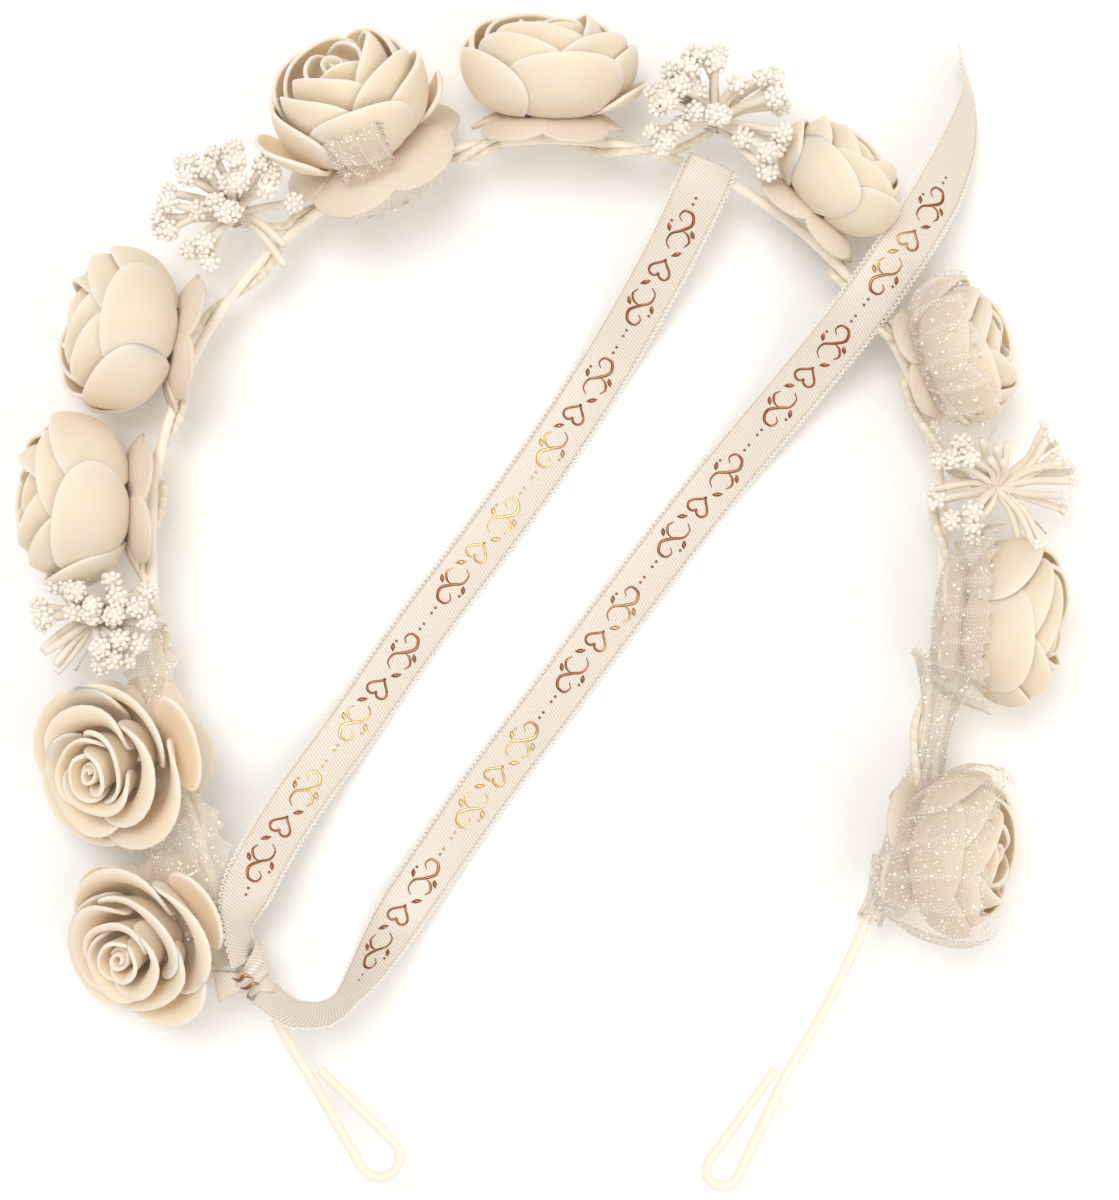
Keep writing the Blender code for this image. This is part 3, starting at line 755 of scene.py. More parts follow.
def foam_sheet(name, dark, light, cloud, grain, **finish):
    """Closed-cell foam: matt cream, clouded, with a fine grain. Gives the material and its colour."""
    made = new_material(name, IOR=1.42, **finish)
    space = add_node(made, "ShaderNodeTexCoord").outputs["Object"]
    tint = mottled(made, dark, light, cloud, 3, space)[1]
    pores = add_node(made, "ShaderNodeTexVoronoi", {"Vector": space, "Scale": 1000 / FOAM_PORE})
    dents = {"Height": pores.outputs["Distance"], "Strength": grain, "Distance": 0.05 * MM}
    shade(made, Base_Color=tint, Normal=add_node(made, "ShaderNodeBump", dents).outputs["Normal"])
    return made, tint


foam, foam_tint = foam_sheet(
    "foam_sheet_cream_matt",
    "#E8D3B7",
    "#F1DFCB",
    70,
    0.12,
    Roughness=0.62,
    Subsurface_Weight=0.55,
    Subsurface_Radius=(3.0 * MM, 2.2 * MM, 1.4 * MM),
    Subsurface_Scale=1.0,
    Sheen_Weight=0.12,
)
# painted light: the cut rims are painted paler, as the light that comes through the edge of the sheet
foam_rim_light_share = add_node(foam, "ShaderNodeAttribute", attribute_name="rim_light").outputs["Fac"]
foam_painted_rim_light = add_node(foam, "ShaderNodeMixRGB", {"Fac": foam_rim_light_share, "Color1": foam_tint, "Color2": "#F4E4D4"})
shade(foam, Base_Color=foam_painted_rim_light.outputs["Color"])
foam_grey, _ = foam_sheet(
    "foam_sheet_grey_cream_matt",
    "#DBCEBC",
    "#E9DECE",
    60,
    0.15,
    Roughness=0.7,
    Subsurface_Weight=0.2,
    Subsurface_Radius=(1.6 * MM, 1.2 * MM, 0.8 * MM),
)


def foam_object(name, petals, seat, material, node):
    """Petals joined as one piece of foam sheet, with the painted light on their rims, and flat where they
    meet the table.
    """
    lowest = FOAM_SHEET + 0.1 * MM
    for points, _, _ in petals:
        for number, point in enumerate(points):
            placed = seat @ point
            if placed.z < lowest:
                placed.z = lowest
                points[number] = seat.inverted() @ placed
    obj = mesh_object(name, [(points, faces) for points, faces, _ in petals], material)
    rim_light = obj.data.attributes.new("rim_light", "FLOAT", "POINT")
    rim_light.data.foreach_set("value", [tone for _, _, rim_light_tones in petals for tone in rim_light_tones])
    obj.matrix_world = seat
    thicken(obj, FOAM_SHEET)
    soft = obj.modifiers.new("pressed", "SUBSURF")
    soft.levels = soft.render_levels = 1
    settle(obj, "foam", node)


# Side views of the rings of petals, as shares of the cup's radius and depth, from stem to rim: a
# closed rose first, then an open one, whose lips fold out flat
OUTER = [(0.10, 0.02), (0.50, 0.04), (0.82, 0.22), (0.97, 0.45), (1.00, 0.64), (0.97, 0.80)]
SECOND = [(0.08, 0.08), (0.40, 0.12), (0.70, 0.34), (0.84, 0.60), (0.83, 0.80), (0.74, 0.96)]
THIRD = [(0.06, 0.10), (0.30, 0.22), (0.52, 0.46), (0.62, 0.70), (0.58, 0.90), (0.46, 1.05)]
INNER = [(0.05, 0.20), (0.20, 0.40), (0.32, 0.62), (0.36, 0.82), (0.30, 1.02)]
OUTER_OPEN = [(0.10, 0.02), (0.48, 0.08), (0.72, 0.28), (0.84, 0.48), (0.98, 0.60), (1.14, 0.60)]
SECOND_OPEN = [(0.08, 0.08), (0.34, 0.16), (0.48, 0.40), (0.54, 0.62), (0.66, 0.78), (0.82, 0.80)]
THIRD_OPEN = [(0.06, 0.10), (0.20, 0.28), (0.30, 0.54), (0.34, 0.78), (0.41, 0.93), (0.52, 0.95)]
INNER_OPEN = [(0.05, 0.20), (0.12, 0.40), (0.16, 0.64), (0.19, 0.86), (0.23, 1.0), (0.28, 1.03)]
# line, petals, height of the middle and half height as shares of the line, half width as a share of
# the radius, belly and tuck in mm, curl, and how far the ring is squared up round the heart
LAYERS = [
    (OUTER, 5, 0.60, 0.40, 0.74, 1.6, 1.1, 1.0, 0.0),
    (SECOND, 4, 0.62, 0.38, 0.74, 1.0, 1.1, 0.7, 0.15),
    (THIRD, 3, 0.64, 0.36, 0.70, 0.6, 1.0, 0.35, 0.5),
    (INNER, 3, 0.66, 0.34, 0.42, 0.2, 0.7, 0.0, 0.9),
]
OPEN_LAYERS = [
    (OUTER_OPEN, 4, 0.58, 0.42, 0.84, 0.9, 1.6, 0.5, 0.0),
    (SECOND_OPEN, 3, 0.62, 0.38, 0.72, 0.6, 1.4, 0.4, 0.5),
    (THIRD_OPEN, 3, 0.62, 0.38, 0.56, 0.5, 1.2, 0.3, 0.8),
    (INNER_OPEN, 2, 0.64, 0.36, 0.34, 0.2, 0.8, 0.0, 0.9),
]
# Big petals that have sprung out beside a rose: degrees round from its top, the height of the middle
# and half height as shares of the line, and half width as a share of the radius
SPLAY = [(0.10, 0.0), (0.55, 0.04), (0.98, 0.18), (1.28, 0.40), (1.50, 0.62)]
SPLAY_OPEN = [(0.10, 0.0), (0.55, 0.10), (0.95, 0.24), (1.22, 0.34), (1.46, 0.38)]
SPRUNG = {
    "rose_front": [(84, 0.48, 0.30, 0.50)],
    "rose_front_left": [(-74, 0.64, 0.36, 0.64), (82, 0.60, 0.24, 0.32)],
    "rose_left_lower": [(-8, 0.64, 0.32, 0.60), (-120, 0.56, 0.30, 0.50), (118, 0.56, 0.28, 0.46)],
    "rose_left_back": [(-6, 0.62, 0.32, 0.56), (104, 0.56, 0.28, 0.50)],
    "rose_right_upper": [(78, 0.40, 0.30, 0.46)],
}
# degrees that the first petal stands round from the top of each rose, and how far its lips fold out:
# a rose past FULL_BLOWN is an open one
FULL_BLOWN = 2
ROSES = {
    "rose_front": (14, 0.9),
    "rose_front_left": (-4, 1.6),
    "rose_left_upper": (10, 0.8),
    "rose_left_side": (-16, 0.8),
    "rose_left_lower": (30, 2.4),
    "rose_left_back": (-24, 2.2),
    "rose_front_right": (-18, 0.6),
    "rose_right_upper": (-20, 0.7),
    "rose_right_side": (12, 0.8),
    "rose_right_back": (-8, 1.0),
}
BASE_LINE = [(0.08, 0.0), (0.4, 0.2), (0.75, -0.2), (1.0, -1.2)]
BASE_FALL = 2.6 * MM
BASE_MIDDLE = 0.5  # share of the base's radius where its five lobes part
BASE_PETALS = 5
# a lobe's middle, half height and half width as shares of the base's radius
BASE_EXTENT = (0.56, 0.47, 0.48)
# belly, tuck, curl, flat and wave of the petals that aren't in a layer
BASE_PRESS = (0.0, 0.5 * MM, 0.0, 0.0, 0.4 * MM)
SPRUNG_PRESS = (0.8 * MM, 0.3 * MM, -0.8 * MM, 0.0, 0.4 * MM)
LAYER_TURN = 44  # degrees from the first petal of one layer to the first of the next
CUP_SHARE = 0.96  # the petals' reach against their solid's, whose corners stand a little out
BASE_SHARES = {"rose_front_left": 0.86}
# degrees that petals stray round, the ruffle of their lips, and the heart's share of the radius
OPEN_HABIT = (12, 0.75 * MM, 0.12)
CLOSED_HABIT = (6, 0.35 * MM, 0.2)

for number, (rose, (first, open_lip)) in enumerate(ROSES.items()):
    dice = random.Random(number + 11)
    is_open = open_lip > FULL_BLOWN
    stray, wave, tight = OPEN_HABIT if is_open else CLOSED_HABIT
    seat, radius, depth, base_radius = rose_seat(rose)
    radius *= CUP_SHARE
    base_radius *= BASE_SHARES.get(rose, 1.0)
    petals = []
    for layer, ring in enumerate(OPEN_LAYERS if is_open else LAYERS):
        corners, count, middle, up, across, belly, tuck, curl, flat = ring
        line = side_line(corners, radius, depth)
        for place in range(count):
            turn = math.radians(90 + first + layer * LAYER_TURN) + 2 * math.pi * place / count
            turn += math.radians(dice.uniform(-stray, stray))
            height = line[1] * (middle + dice.uniform(-0.03, 0.02))
            extent = (height, line[1] * up, radius * across * dice.uniform(0.95, 1.06))
            press = (belly * MM, tuck * MM, curl * open_lip * dice.uniform(0.7, 1.25) * MM, flat, wave)
            petals.append(petal(line, turn, extent, press, dice))
    splay = side_line(SPLAY_OPEN if is_open else SPLAY, radius, depth)
    for turn, middle, up, across in SPRUNG.get(rose, []):
        extent = (splay[1] * middle, splay[1] * up, radius * across)
        petals.append(petal(splay, math.radians(90 + turn), extent, SPRUNG_PRESS, dice))
    foam_object(f"{rose}_foam_petals", petals, seat, foam, f"{rose}_petals")
    roll = heart(radius * tight, depth * 0.3, depth, 1.5, math.radians(first + 60), 0.1 * depth)
    foam_object(f"{rose}_foam_heart", [roll], seat, foam, f"{rose}_bud")
    line = side_line([(r, z * BASE_FALL / base_radius) for r, z in BASE_LINE], base_radius, base_radius)
    extent = [share * base_radius for share in BASE_EXTENT]
    lobes = []
    for place in range(BASE_PETALS):
        turn = math.radians(90 + 36 + dice.uniform(-7, 7)) + 2 * math.pi * place / BASE_PETALS
        lobes.append(petal(line, turn, extent, BASE_PRESS, dice))
    lobes.append(disc_middle(line, base_radius * BASE_MIDDLE, FOAM_SHEET * 0.3))
    foam_object(f"{rose}_foam_base", lobes, seat, foam_grey, f"{rose}_base_petals")

# ---- Covered stems ----
# Thin florist's wires rolled in cream paper tape. Each comes out behind its flower, turns beside the
# band and winds slowly round it; the tape shows as a fine slanting ridge every few millimetres.

STEM_RADIUS = 0.9 * MM
STEM_TWIST = 34 * MM  # length of band for one turn of a stem round it
TAPE_PITCH = 2.6  # mm between the edges of the rolled tape
TAPE_SLANT = 0.45  # how far an edge runs along the stem for each mm round it
# Crepe paper tape: matt, with painted shade at each overlapping edge, from where each band is painted lighter
taped = new_material("paper_tape_cream_rolled", Roughness=0.6, Sheen_Weight=0.15)
tape_space = add_node(taped, "ShaderNodeUVMap", uv_map="cloth").outputs["UV"]
tape_size = {"Scale": 1 / TAPE_PITCH / WAVE_BANDS, "Distortion": 1.2, "Detail": 2}
tape_wave = add_node(taped, "ShaderNodeTexWave", {"Vector": tape_space, **tape_size}, wave_profile="SAW")
tape_edges = tape_wave.outputs["Fac"]
# painted shade: each band of tape is darkest just past an overlapping edge
tape_painted_shade = add_node(taped, "ShaderNodeMixRGB", {"Fac": tape_edges, "Color1": "#E2D6BE", "Color2": "#F3EADA"})
tape_bump = add_node(taped, "ShaderNodeBump", {"Height": tape_edges, "Strength": 0.25, "Distance": 0.08 * MM})
shade(taped, Base_Color=tape_painted_shade.outputs["Color"], Normal=tape_bump.outputs["Normal"])


def nearest_place(point):
    """The length along the band, from the front, of the spot nearest to a point."""
    places = np.arange(-235, 235, 0.5) * MM
    return min(places, key=lambda place: (band(place)[0] - point).length)


def taped_rod(name, route, node, sides=8):
    """A taped stem along a route, mapped by the length along it and the way round it."""
    path, _, length = along_path(route, [0] * len(route), 1.2 * MM)
    radii = [STEM_RADIUS] * len(path)
    radii[0] = radii[-1] = STEM_RADIUS * 0.75
    weave = []
    for place in np.linspace(0, length / MM, len(path)):
        for across in np.arange(sides) * 2 * math.pi * STEM_RADIUS / MM / sides:
            weave.append((place + TAPE_SLANT * across, across))
    rod = mesh_object(name, [tube_shape(path, radii, sides)], taped)
    lay_weave(rod, weave)
    settle(rod, "stem_covering", node)


def stem_route(start, ahead, run, length, around):
    """From inside a flower, back beside the band, then round and along it."""
    place = nearest_place(start)
    route = [start + ahead * 4 * MM, start, start - ahead * 1.8 * MM]
    for share in np.linspace(0, 1, 9):
        reach = 5.5 * MM + share * length
        point, _, out = band(place + run * reach)
        turn = math.radians(around) + run * 2 * math.pi * share * length / STEM_TWIST
        gap = WIRE_RADIUS + STEM_RADIUS + 0.1 * MM
        route.append(point + turned(out, UP, turn) * gap)
    return smooth_path(route, 5)


# the way each rose's stem runs along the band, its length along it in mm, and where it starts round it
STEM_RUNS = {
    "rose_front": (1, 22, 20),
    "rose_front_left": (-1, 20, -30),
    "rose_left_upper": (-1, 24, 10),
    "rose_left_side": (-1, 22, -20),
    "rose_left_lower": (-1, 20, 10),
    "rose_left_back": (-1, 26, -10),
    "rose_front_right": (-1, 26, 10),
    "rose_right_upper": (1, 22, -20),
    "rose_right_side": (1, 20, 10),
    "rose_right_back": (1, 26, -10),
}
for rose, (run, length, around) in STEM_RUNS.items():
    seat = rose_seat(rose)[0]
    route = stem_route(seat.translation, seat.col[2].to_3d().normalized(), run, length * MM, around)
    taped_rod(f"{rose}_taped_stem", route, f"{rose}_stem")

# ---- Stamen sprays ----
# Double-ended artificial stamens: soft cords 1.7 mm thick, their tips dipped in paste and rolled in
# tiny beads. A handful is tied round its middle with fine wire, so that the tips fan out all round.

STAMEN_RADIUS = 0.82 * MM
BEAD_RADIUS = 0.62 * MM
HEAD_RADIUS = 1.75 * MM
TIE_RADIUS = 0.2 * MM
WAIST_RADIUS = 2.2 * MM

# Waxed cotton cord: smooth and dull, a little see-through, with faint fibres along it
stamen = new_material(
    "stamen_cord_waxed",
    Roughness=0.5,
    IOR=1.45,
    Subsurface_Weight=0.2,
    Subsurface_Radius=(1.5 * MM, 1.1 * MM, 0.7 * MM),
)
stamen_space = add_node(stamen, "ShaderNodeTexCoord").outputs["Object"]
stamen_drift, stamen_tint = mottled(stamen, "#EADFCD", "#F6EEE2", 220, 4, stamen_space)
fibres = {"Height": stamen_drift, "Strength": 0.3, "Distance": 0.12 * MM}
shade(stamen, Base_Color=stamen_tint, Normal=add_node(stamen, "ShaderNodeBump", fibres).outputs["Normal"])

# Moulded plastic beads: whiter than the cords, with a small soft highlight on each
bead = new_material(
    "bead_pearl_white_satin",
    Roughness=0.38,
    IOR=1.5,
    Coat_Weight=0.1,
    Subsurface_Weight=0.25,
    Subsurface_Radius=(1.2 * MM, 1.0 * MM, 0.8 * MM),
)
bead_space = add_node(bead, "ShaderNodeTexCoord").outputs["Object"]
shade(bead, Base_Color=mottled(bead, "#EFE6DA", "#FDF8F1", 600, 2, bead_space)[1])

# Silvered copper: a bright thin line with a few scuffs
tie_wire = new_material("tie_wire_silvered", Metallic=1.0, Roughness=0.25)
shade(tie_wire, Base_Color=mottled(tie_wire, "#B9B2A6", "#F3EFE6", 900, 3)[1])


def ball_shape(centre, radius, columns=8, rows=6):
    """A small round bead, in the second of its object's materials."""
    points = [centre - UP * radius]
    for row in range(1, rows):
        lift = -math.pi / 2 + math.pi * row / rows
        for column in range(columns):
            turn = 2 * math.pi * column / columns
            points.append(centre + polar(math.cos(lift) * radius, turn, math.sin(lift) * radius))
    points.append(centre + UP * radius)
    last = len(points) - 1
    faces = grid_faces(rows - 1, columns, closed=True, first=1)
    faces += [(0, 1 + (n + 1) % columns, 1 + n) for n in range(columns)]
    faces += [(last, last - columns + n, last - columns + (n + 1) % columns) for n in range(columns)]
    return points, faces, 1


def head_shapes(tip, ahead, count, dice):
    """Beads crowded round a core of paste at the tip of a stamen."""
    if not count:
        return []
    big = HEAD_RADIUS * min(1.0, math.sqrt(count / 16))
    shapes = [ball_shape(tip, big * 0.9)]
    spin = dice.uniform(0, 6)
    side = ahead.orthogonal().normalized()
    for number in range(count):
        lift = 1 - 1.75 * (number + 0.5) / max(count, 8)
        turn = spin + number * math.radians(137.5)
        way = ahead * lift + turned(side, ahead.cross(side), turn) * math.sqrt(1 - lift**2)
        reach = big * dice.uniform(0.88, 1.15)
        shapes.append(ball_shape(tip + way * reach, BEAD_RADIUS * dice.uniform(0.88, 1.1)))
    return shapes


# Fans of stamens: the turn of the first and last one (degrees from the crown's left, round by its
# back), how many, how far they rise, their length in mm, and the beads on each
FANS = {
    "stamens_left_front": [
        (285, 330, 5, 30, 15.0, 21),
        (235, 275, 4, 48, 14.5, 19),
        (340, 385, 5, 25, 16.0, 21),
        (30, 70, 3, 35, 13.5, 19),
        (130, 150, 2, 22, 15.5, 0),
        (185, 225, 3, 38, 15.0, 19),
        (270, 390, 5, 62, 9.5, 21),
    ],
    "stamens_left_side": [
        (285, 330, 4, 40, 10.5, 19),
        (345, 375, 3, 30, 13.0, 18),
        (25, 62, 4, 24, 14.5, 0),
        (95, 150, 6, 40, 13.0, 21),
        (165, 215, 5, 46, 13.5, 21),
        (230, 265, 2, 55, 11.0, 16),
        (300, 360, 3, 60, 8.5, 21),
        (110, 210, 4, 60, 8.5, 21),
    ],
    "stamens_front_right": [
        (262, 302, 5, 32, 15.5, 18),
        (190, 222, 5, 30, 16.0, 21),
        (130, 170, 5, 26, 16.0, 21),
        (310, 352, 6, 36, 14.5, 21),
        (5, 35, 3, 20, 13.0, 18),
        (225, 250, 1, 60, 12.0, 15),
        (290, 380, 4, 60, 9.5, 21),
        (130, 180, 2, 58, 10.0, 21),
    ],
    "stamens_right_side": [
        (160, 236, 9, 26, 16.0, 5),
        (258, 300, 5, 44, 11.5, 0),
        (308, 338, 4, 32, 13.0, 19),
        (0, 22, 3, 18, 14.0, 6),
        (32, 70, 4, 34, 12.5, 18),
        (104, 136, 3, 20, 16.5, 7),
    ],
}
# the way that the tie wire's cut end stands out, in degrees, and how far, in mm
LOOSE_ENDS = {
    "stamens_left_front": (150, 12.0),
    "stamens_left_side": (60, 11.0),
    "stamens_front_right": (20, 11.0),
    "stamens_right_side": (133, 16.0),
}
LOWEST = 1.4 * MM  # of the middle of a stamen over the table
TIE_TURNS = 3.2
TIE_WIDTH = 1.5 * MM
for number, (spray, fans) in enumerate(FANS.items()):
    dice = random.Random(40 + number)
    ring = node_points(f"{spray}_tie")
    hub = Vector(ring.mean(axis=0))
    bundle = Vector(node_points(f"{spray}_spray").mean(axis=0))
    _, _, axes = np.linalg.svd(ring - ring.mean(axis=0))
    axis = Vector(axes[2])
    if axis.dot(bundle - hub) < 0:
        axis = -axis
    shapes = []
    for first, last, count, rise, length, beads in fans:
        for place in range(count):
            turn = first + (last - first) * (place + 0.5) / count + dice.uniform(-4, 4)
            lift = math.radians(rise * (0.45 + 1.1 * ((place * 0.618 + 0.3) % 1)))
            ahead = polar(math.cos(lift), math.radians(turn), math.sin(lift))
            side = ahead.cross(UP).normalized() * dice.uniform(-1.2, 1.2) * MM
            reach = length * dice.uniform(0.92, 1.05) * MM
            root = hub - axis * 1.2 * MM + ahead * 0.9 * MM
            middle = hub + axis * 1.5 * MM + ahead * reach * 0.45 + side
            tip = hub + ahead * reach + UP * 0.5 * MM
            path = smooth_path([root, hub + ahead * 1.3 * MM + axis * 0.6 * MM, middle, tip], 5)
            for point in path:
                point.z = max(point.z, LOWEST)
            thick = STAMEN_RADIUS * dice.uniform(0.92, 1.12)
            radii = [thick * (0.72 + 0.28 * min(1, n / 6)) for n in range(len(path))]
            radii[-1] = thick * 0.8
            shapes.append(tube_shape(path, radii, 8))
            shapes += head_shapes(path[-1], (path[-1] - path[-3]).normalized(), beads, dice)
    stamens = mesh_object(f"{spray}_beaded", shapes, stamen, bead)
    settle(stamens, "stamens", f"{spray}_spray")

    side = axis.orthogonal().normalized()
    turns = []
    for share in np.linspace(0, 1, 61):
        radial = turned(side, axis.cross(side), share * TIE_TURNS * 2 * math.pi)
        turns.append(hub + radial * WAIST_RADIUS + axis * (share - 0.5) * TIE_WIDTH)
    loose, reach = LOOSE_ENDS[spray]
    away = polar(1, math.radians(loose), 0.12) * reach * MM
    last = turns[-1]
    tie_path = turns + smooth_path([last, last + away * 0.4 + UP * 0.8 * MM, last + away], 6)[1:]
    tie = mesh_object(f"{spray}_tie_turns", [tube_shape(tie_path, [TIE_RADIUS] * len(tie_path), 6)], tie_wire)
    settle(tie, "tie_wire", f"{spray}_tie")

    run = 1 if nearest_place(hub) < 0 else -1
    taped_rod(f"{spray}_taped_foot", stem_route(hub, axis, run, 22 * MM, 30), f"{spray}_spray")

# ---- Glitter tulle ----
# Fine nylon net, ivory, with glitter flakes glued to it. Strips of it veil the roses on the wearer's
# right, are gathered round the wire between them, and fill the gap between the two left back roses.

# Nylon net: hexagonal holes between fine threads, so it veils what lies behind and whitens at a fold
net = new_material("nylon_net_ivory", Roughness=0.45, Sheen_Weight=0.3)
NET_PITCH = 0.7  # mm across one hole of the net, drawn a little coarser than the real 0.55
NET_THREAD = 0.24  # share of a hole's width that its thread takes up
NET_HAZE = 0.26  # how much of the light the finer threads between stop
NET_LINE = 0.6  # and how much a drawn thread stops
NET_FOLDED = 0.42  # how much more a crease stops, where the net lies double
net_space = add_node(net, "ShaderNodeUVMap", uv_map="cloth").outputs["UV"]
threads = []
for angle in (0, 60, 120):
    way = polar(1 / NET_PITCH, math.radians(angle), 0)
    across = add_node(net, "ShaderNodeVectorMath", {0: net_space, 1: way}, operation="DOT_PRODUCT")
    part = add_node(net, "ShaderNodeMath", {0: across.outputs["Value"]}, operation="FRACT").outputs[0]
    line = add_node(net, "ShaderNodeMath", {0: part, 1: NET_THREAD}, operation="LESS_THAN").outputs[0]
    threads.append(line)
for _ in (1, 2):
    pair = {0: threads.pop(0), 1: threads.pop(0)}
    threads.insert(0, add_node(net, "ShaderNodeMath", pair, operation="MAXIMUM").outputs[0])
net_fold = add_node(net, "ShaderNodeAttribute", attribute_name="crease").outputs["Fac"]
net_thick = add_node(net, "ShaderNodeMapRange", {"Value": threads[0], "To Min": NET_HAZE, "To Max": NET_LINE})
cover = {0: net_fold, 1: NET_FOLDED, 2: net_thick.outputs["Result"]}
net_cover = add_node(net, "ShaderNodeMath", cover, operation="MULTIPLY_ADD", use_clamp=True)
shade(
    net,
    Base_Color=mottled(net, "#DBCFBE", "#F4EADD", 0.35, 3, net_space)[1],
    Alpha=net_cover.outputs[0],
)

# Pearl glitter: tiny flat flakes of coated film, each flashing white as it catches the light
glitter = new_material("glitter_flake_pearl", Metallic=0.15, Roughness=0.2, Coat_Weight=0.4)
shade(glitter, Base_Color=mottled(glitter, "#FFF3DC", "#FFFFFF", 1500, 1)[1])
FLAKE = 0.23 * MM
FLAKES = 0.45  # flakes on each square millimetre


def flake_shapes(rows, count, dice):
    """Six-sided flakes scattered over a sheet, each turned its own way."""
    shapes = []
    for _ in range(count):
        row, column = dice.randrange(len(rows) - 1), dice.randrange(len(rows[0]) - 1)
        a, b, c = rows[row][column], rows[row][column + 1], rows[row + 1][column]
        spot = a + (b - a) * dice.random() + (c - a) * dice.random()
        normal = (b - a).cross(c - a)
        if normal.length < 1e-12:
            continue
        normal.normalize()
        lean = Vector([dice.uniform(-0.5, 0.5) for _ in range(3)])
        facing = (normal + lean).normalized()
        side = facing.orthogonal().normalized()
        size = FLAKE * dice.uniform(0.6, 1.1) * (1.5 if dice.random() < 0.25 else 1)
        for face in (1, -1):
            middle = spot + normal * 0.12 * MM * face
            ring = [middle + turned(side, facing.cross(side), n * math.pi / 3) * size for n in range(6)]
            shapes.append((ring, [tuple(range(6))[::face]]))
    return shapes


def tulle_sheet(name, rows, nodes, dice, creases=None):
    """A strip of net from rows of points, with its glitter. It was cut to the size that it measures."""
    low = 0.4 * MM
    rows = [[Vector((point.x, point.y, max(point.z, low))) for point in row] for row in rows]
    points, weave = [point for row in rows for point in row], []
    along = 0.0
    for number, row in enumerate(rows):
        if number:
            along += sum((a - b).length for a, b in zip(row, rows[number - 1])) / len(row)
        across = [0.0, *np.cumsum([(b - a).length for a, b in zip(row, row[1:])])]
        weave += [(along / MM, reach / MM) for reach in across]
    cloth = mesh_object(name, [(points, grid_faces(len(rows), len(rows[0])))], net)
    lay_weave(cloth, weave)
    fold = cloth.data.attributes.new("crease", "FLOAT", "POINT")
    fold.data.foreach_set("value", creases or [0.0] * len(points))
    area = sum(polygon.area for polygon in cloth.data.polygons)
    flakes = flake_shapes(rows, round(FLAKES * area / MM**2), dice)
    sparkle = mesh_object(f"{name}_glitter", flakes, glitter)
    settle(cloth, "glitter_tulle", *nodes)
    settle(sparkle, "glitter_tulle")


def frayed(share, dice):
    """How far a cut edge stands in or out, 0 away from the edges."""
    return dice.uniform(-1, 1) * max(0.0, abs(2 * share - 1) - 0.86) / 0.14


# The net's own side views, as shares of the cup's radius and depth: over a whole rose, over its
# stem end only, and a patch on one petal
NET_OVER_CUP = [(0.30, -0.08), (0.72, -0.04), (1.02, 0.12), (1.15, 0.38), (1.17, 0.60), (1.08, 0.86)]
NET_OVER_ALL = [(0.66, -0.36), (0.98, -0.28), (1.08, -0.06), (1.14, 0.14), (1.17, 0.36), (1.17, 0.62)]
NET_OVER_ALL += [(1.08, 0.90), (0.9, 1.03)]
NET_OVER_BASE = [(0.40, -0.40), (0.80, -0.32), (0.98, -0.16), (1.06, 0.06), (1.14, 0.32)]
NET_PATCH = [(1.00, 0.10), (1.08, 0.26), (1.12, 0.42), (1.12, 0.62)]
# Veils: the rose, its CAD node, the side view, the degrees round it from its own right where the net
# starts and how far it goes, its pleats, and the place along the wire where it is gathered
VEILS = [
    ("rose_right_upper", ["tulle_veil_right_upper"], NET_OVER_CUP, 16, 132, 6, None),
    ("rose_right_side", ["tulle_veil_right_side"], NET_OVER_BASE, -4, 188, 9, -157),
    ("rose_right_back", ["tulle_veil_right_back"], NET_OVER_ALL, -14, 208, 9, -207),
    ("rose_front_left", [], NET_PATCH, 62, 40, 3, None),
]
FRAY = 1.1 * MM
PLEAT_RISE = 1.1 * MM
for number, (rose, nodes, corners, start, arc, pleats, gather) in enumerate(VEILS):
    dice = random.Random(70 + number)
    seat, radius, depth, _ = rose_seat(rose)
    line = side_line(corners, radius, depth)
    rows, creases = [], []
    for along in np.linspace(0, 1, 28):
        row = []
        for share in np.linspace(0, 1, 81):
            spot = on_line(line, line[1] * along + frayed(along, dice) * FRAY)
            turn = math.radians(start + arc * share + frayed(share, dice) * 3)
            fold = pleats * math.pi * share + 1.3 * math.sin(2.5 * along) + number
            pleat = 1 - abs(math.sin(fold))
            crumple = 0.2 * MM * math.sin(17 * share + 9 * along)
            rise = PLEAT_RISE * pleat**2.5 * (1.2 - 0.6 * along) + crumple
            point = seat @ polar(max(spot.x, 2 * MM) + 0.4 * MM + rise, turn, spot.z)
            if gather is not None:
                tied = band(gather * MM)[0] + UP * 1.5 * MM
                point = point.lerp(tied + (point - tied) * 0.16, (1 - along) ** 2.6)
            row.append(point)
            creases.append(pleat**4 * (1 - 0.5 * along))
        rows.append(row)
    tulle_sheet(f"tulle_over_{rose}", rows, nodes, dice, creases)


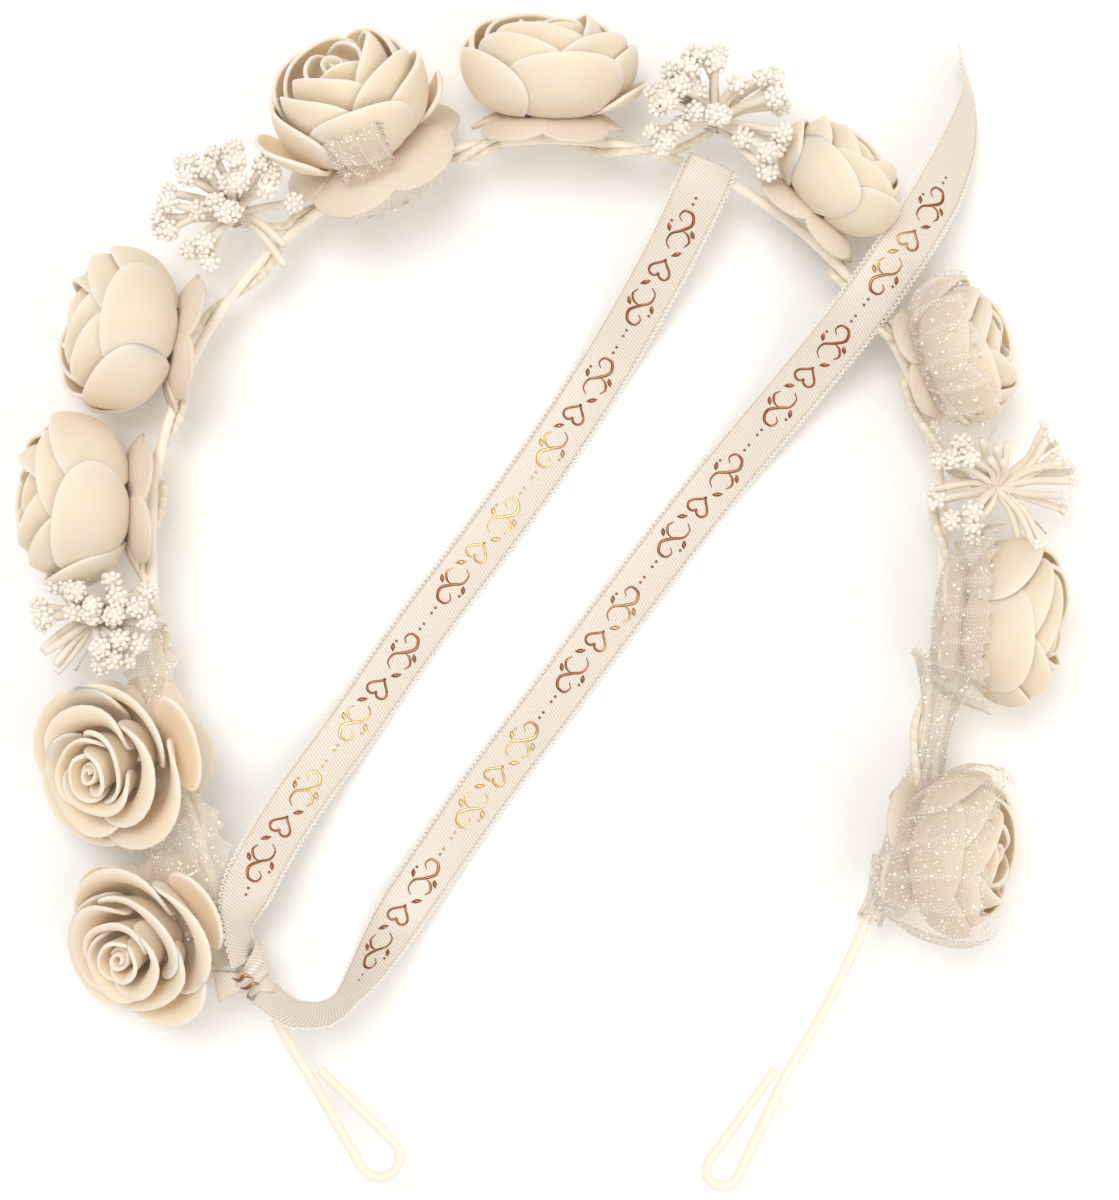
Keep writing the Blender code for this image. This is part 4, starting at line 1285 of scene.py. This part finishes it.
def gathered_rows(start, end, radii, pleats, offset, dice):
    """Net gathered round the wire between two places; the radii run from one end to the other."""
    rows = []
    for share in np.linspace(0, 1, 24):
        point, along, out = band(start + (end - start) * share)
        radius = np.interp(share, np.linspace(0, 1, len(radii)), radii) * MM
        row = []
        for round_share in np.linspace(0, 1, 49):
            turn = round_share * 2 * math.pi + 0.5 * share
            pleat = 1 + 0.2 * math.sin(pleats * turn + 2.5 * share) + 0.06 * math.sin(23 * turn)
            ring = turned(out, UP * 0.8, turn) * radius * pleat
            row.append(point + out * offset + ring + along * frayed(share, dice) * 1.2 * MM)
        rows.append(row)
    return rows


dice = random.Random(81)
neck = gathered_rows(-154 * MM, -186 * MM, (6.6, 4.4, 2.8, 2.5, 3.4, 5.2), 7, 2.2 * MM, dice)
tulle_sheet("tulle_neck_right", neck, ["tulle_wrap_right"], dice)
cuff = gathered_rows(-198 * MM, -212 * MM, (3.6, 2.8, 2.1, 2.4), 6, 0.6 * MM, dice)
tulle_sheet("tulle_cuff_right", cuff, [], dice)

# Scraps of net laid along the wire: the leaf between the two left back roses first, then small bits.
# places along the wire where each starts and ends, offset outwards and half width, all in mm
SCRAPS = {
    "tulle_leaf_between_roses": (180, 213, 3.0, 8.6, ["tulle_leaf_left"]),
    "tulle_scrap_front_left": (24, 46, -3.5, 4.5, []),
    "tulle_scrap_left_side": (146, 164, 2.0, 5.2, []),
    "tulle_scrap_right_side": (-98, -118, 6.0, 7.0, []),
}
for name, (first, last, offset, half_width, nodes) in SCRAPS.items():
    rows = []
    for share in np.linspace(0, 1, 22):
        point, along, out = band((first + (last - first) * share) * MM)
        row = []
        for across in np.linspace(-1, 1, 25):
            bulge = 0.35 + 0.65 * math.sin(math.pi * (0.1 + 0.8 * share))
            reach = offset + across * half_width * bulge + frayed((across + 1) / 2, dice) * 1.3
            lift = 3.8 - 2.6 * across**2 + 0.5 * math.sin(7 * across + 6 * share)
            row.append(point + out * reach * MM + UP * lift * MM + along * frayed(share, dice) * MM)
        rows.append(row)
    tulle_sheet(name, rows, nodes, dice)
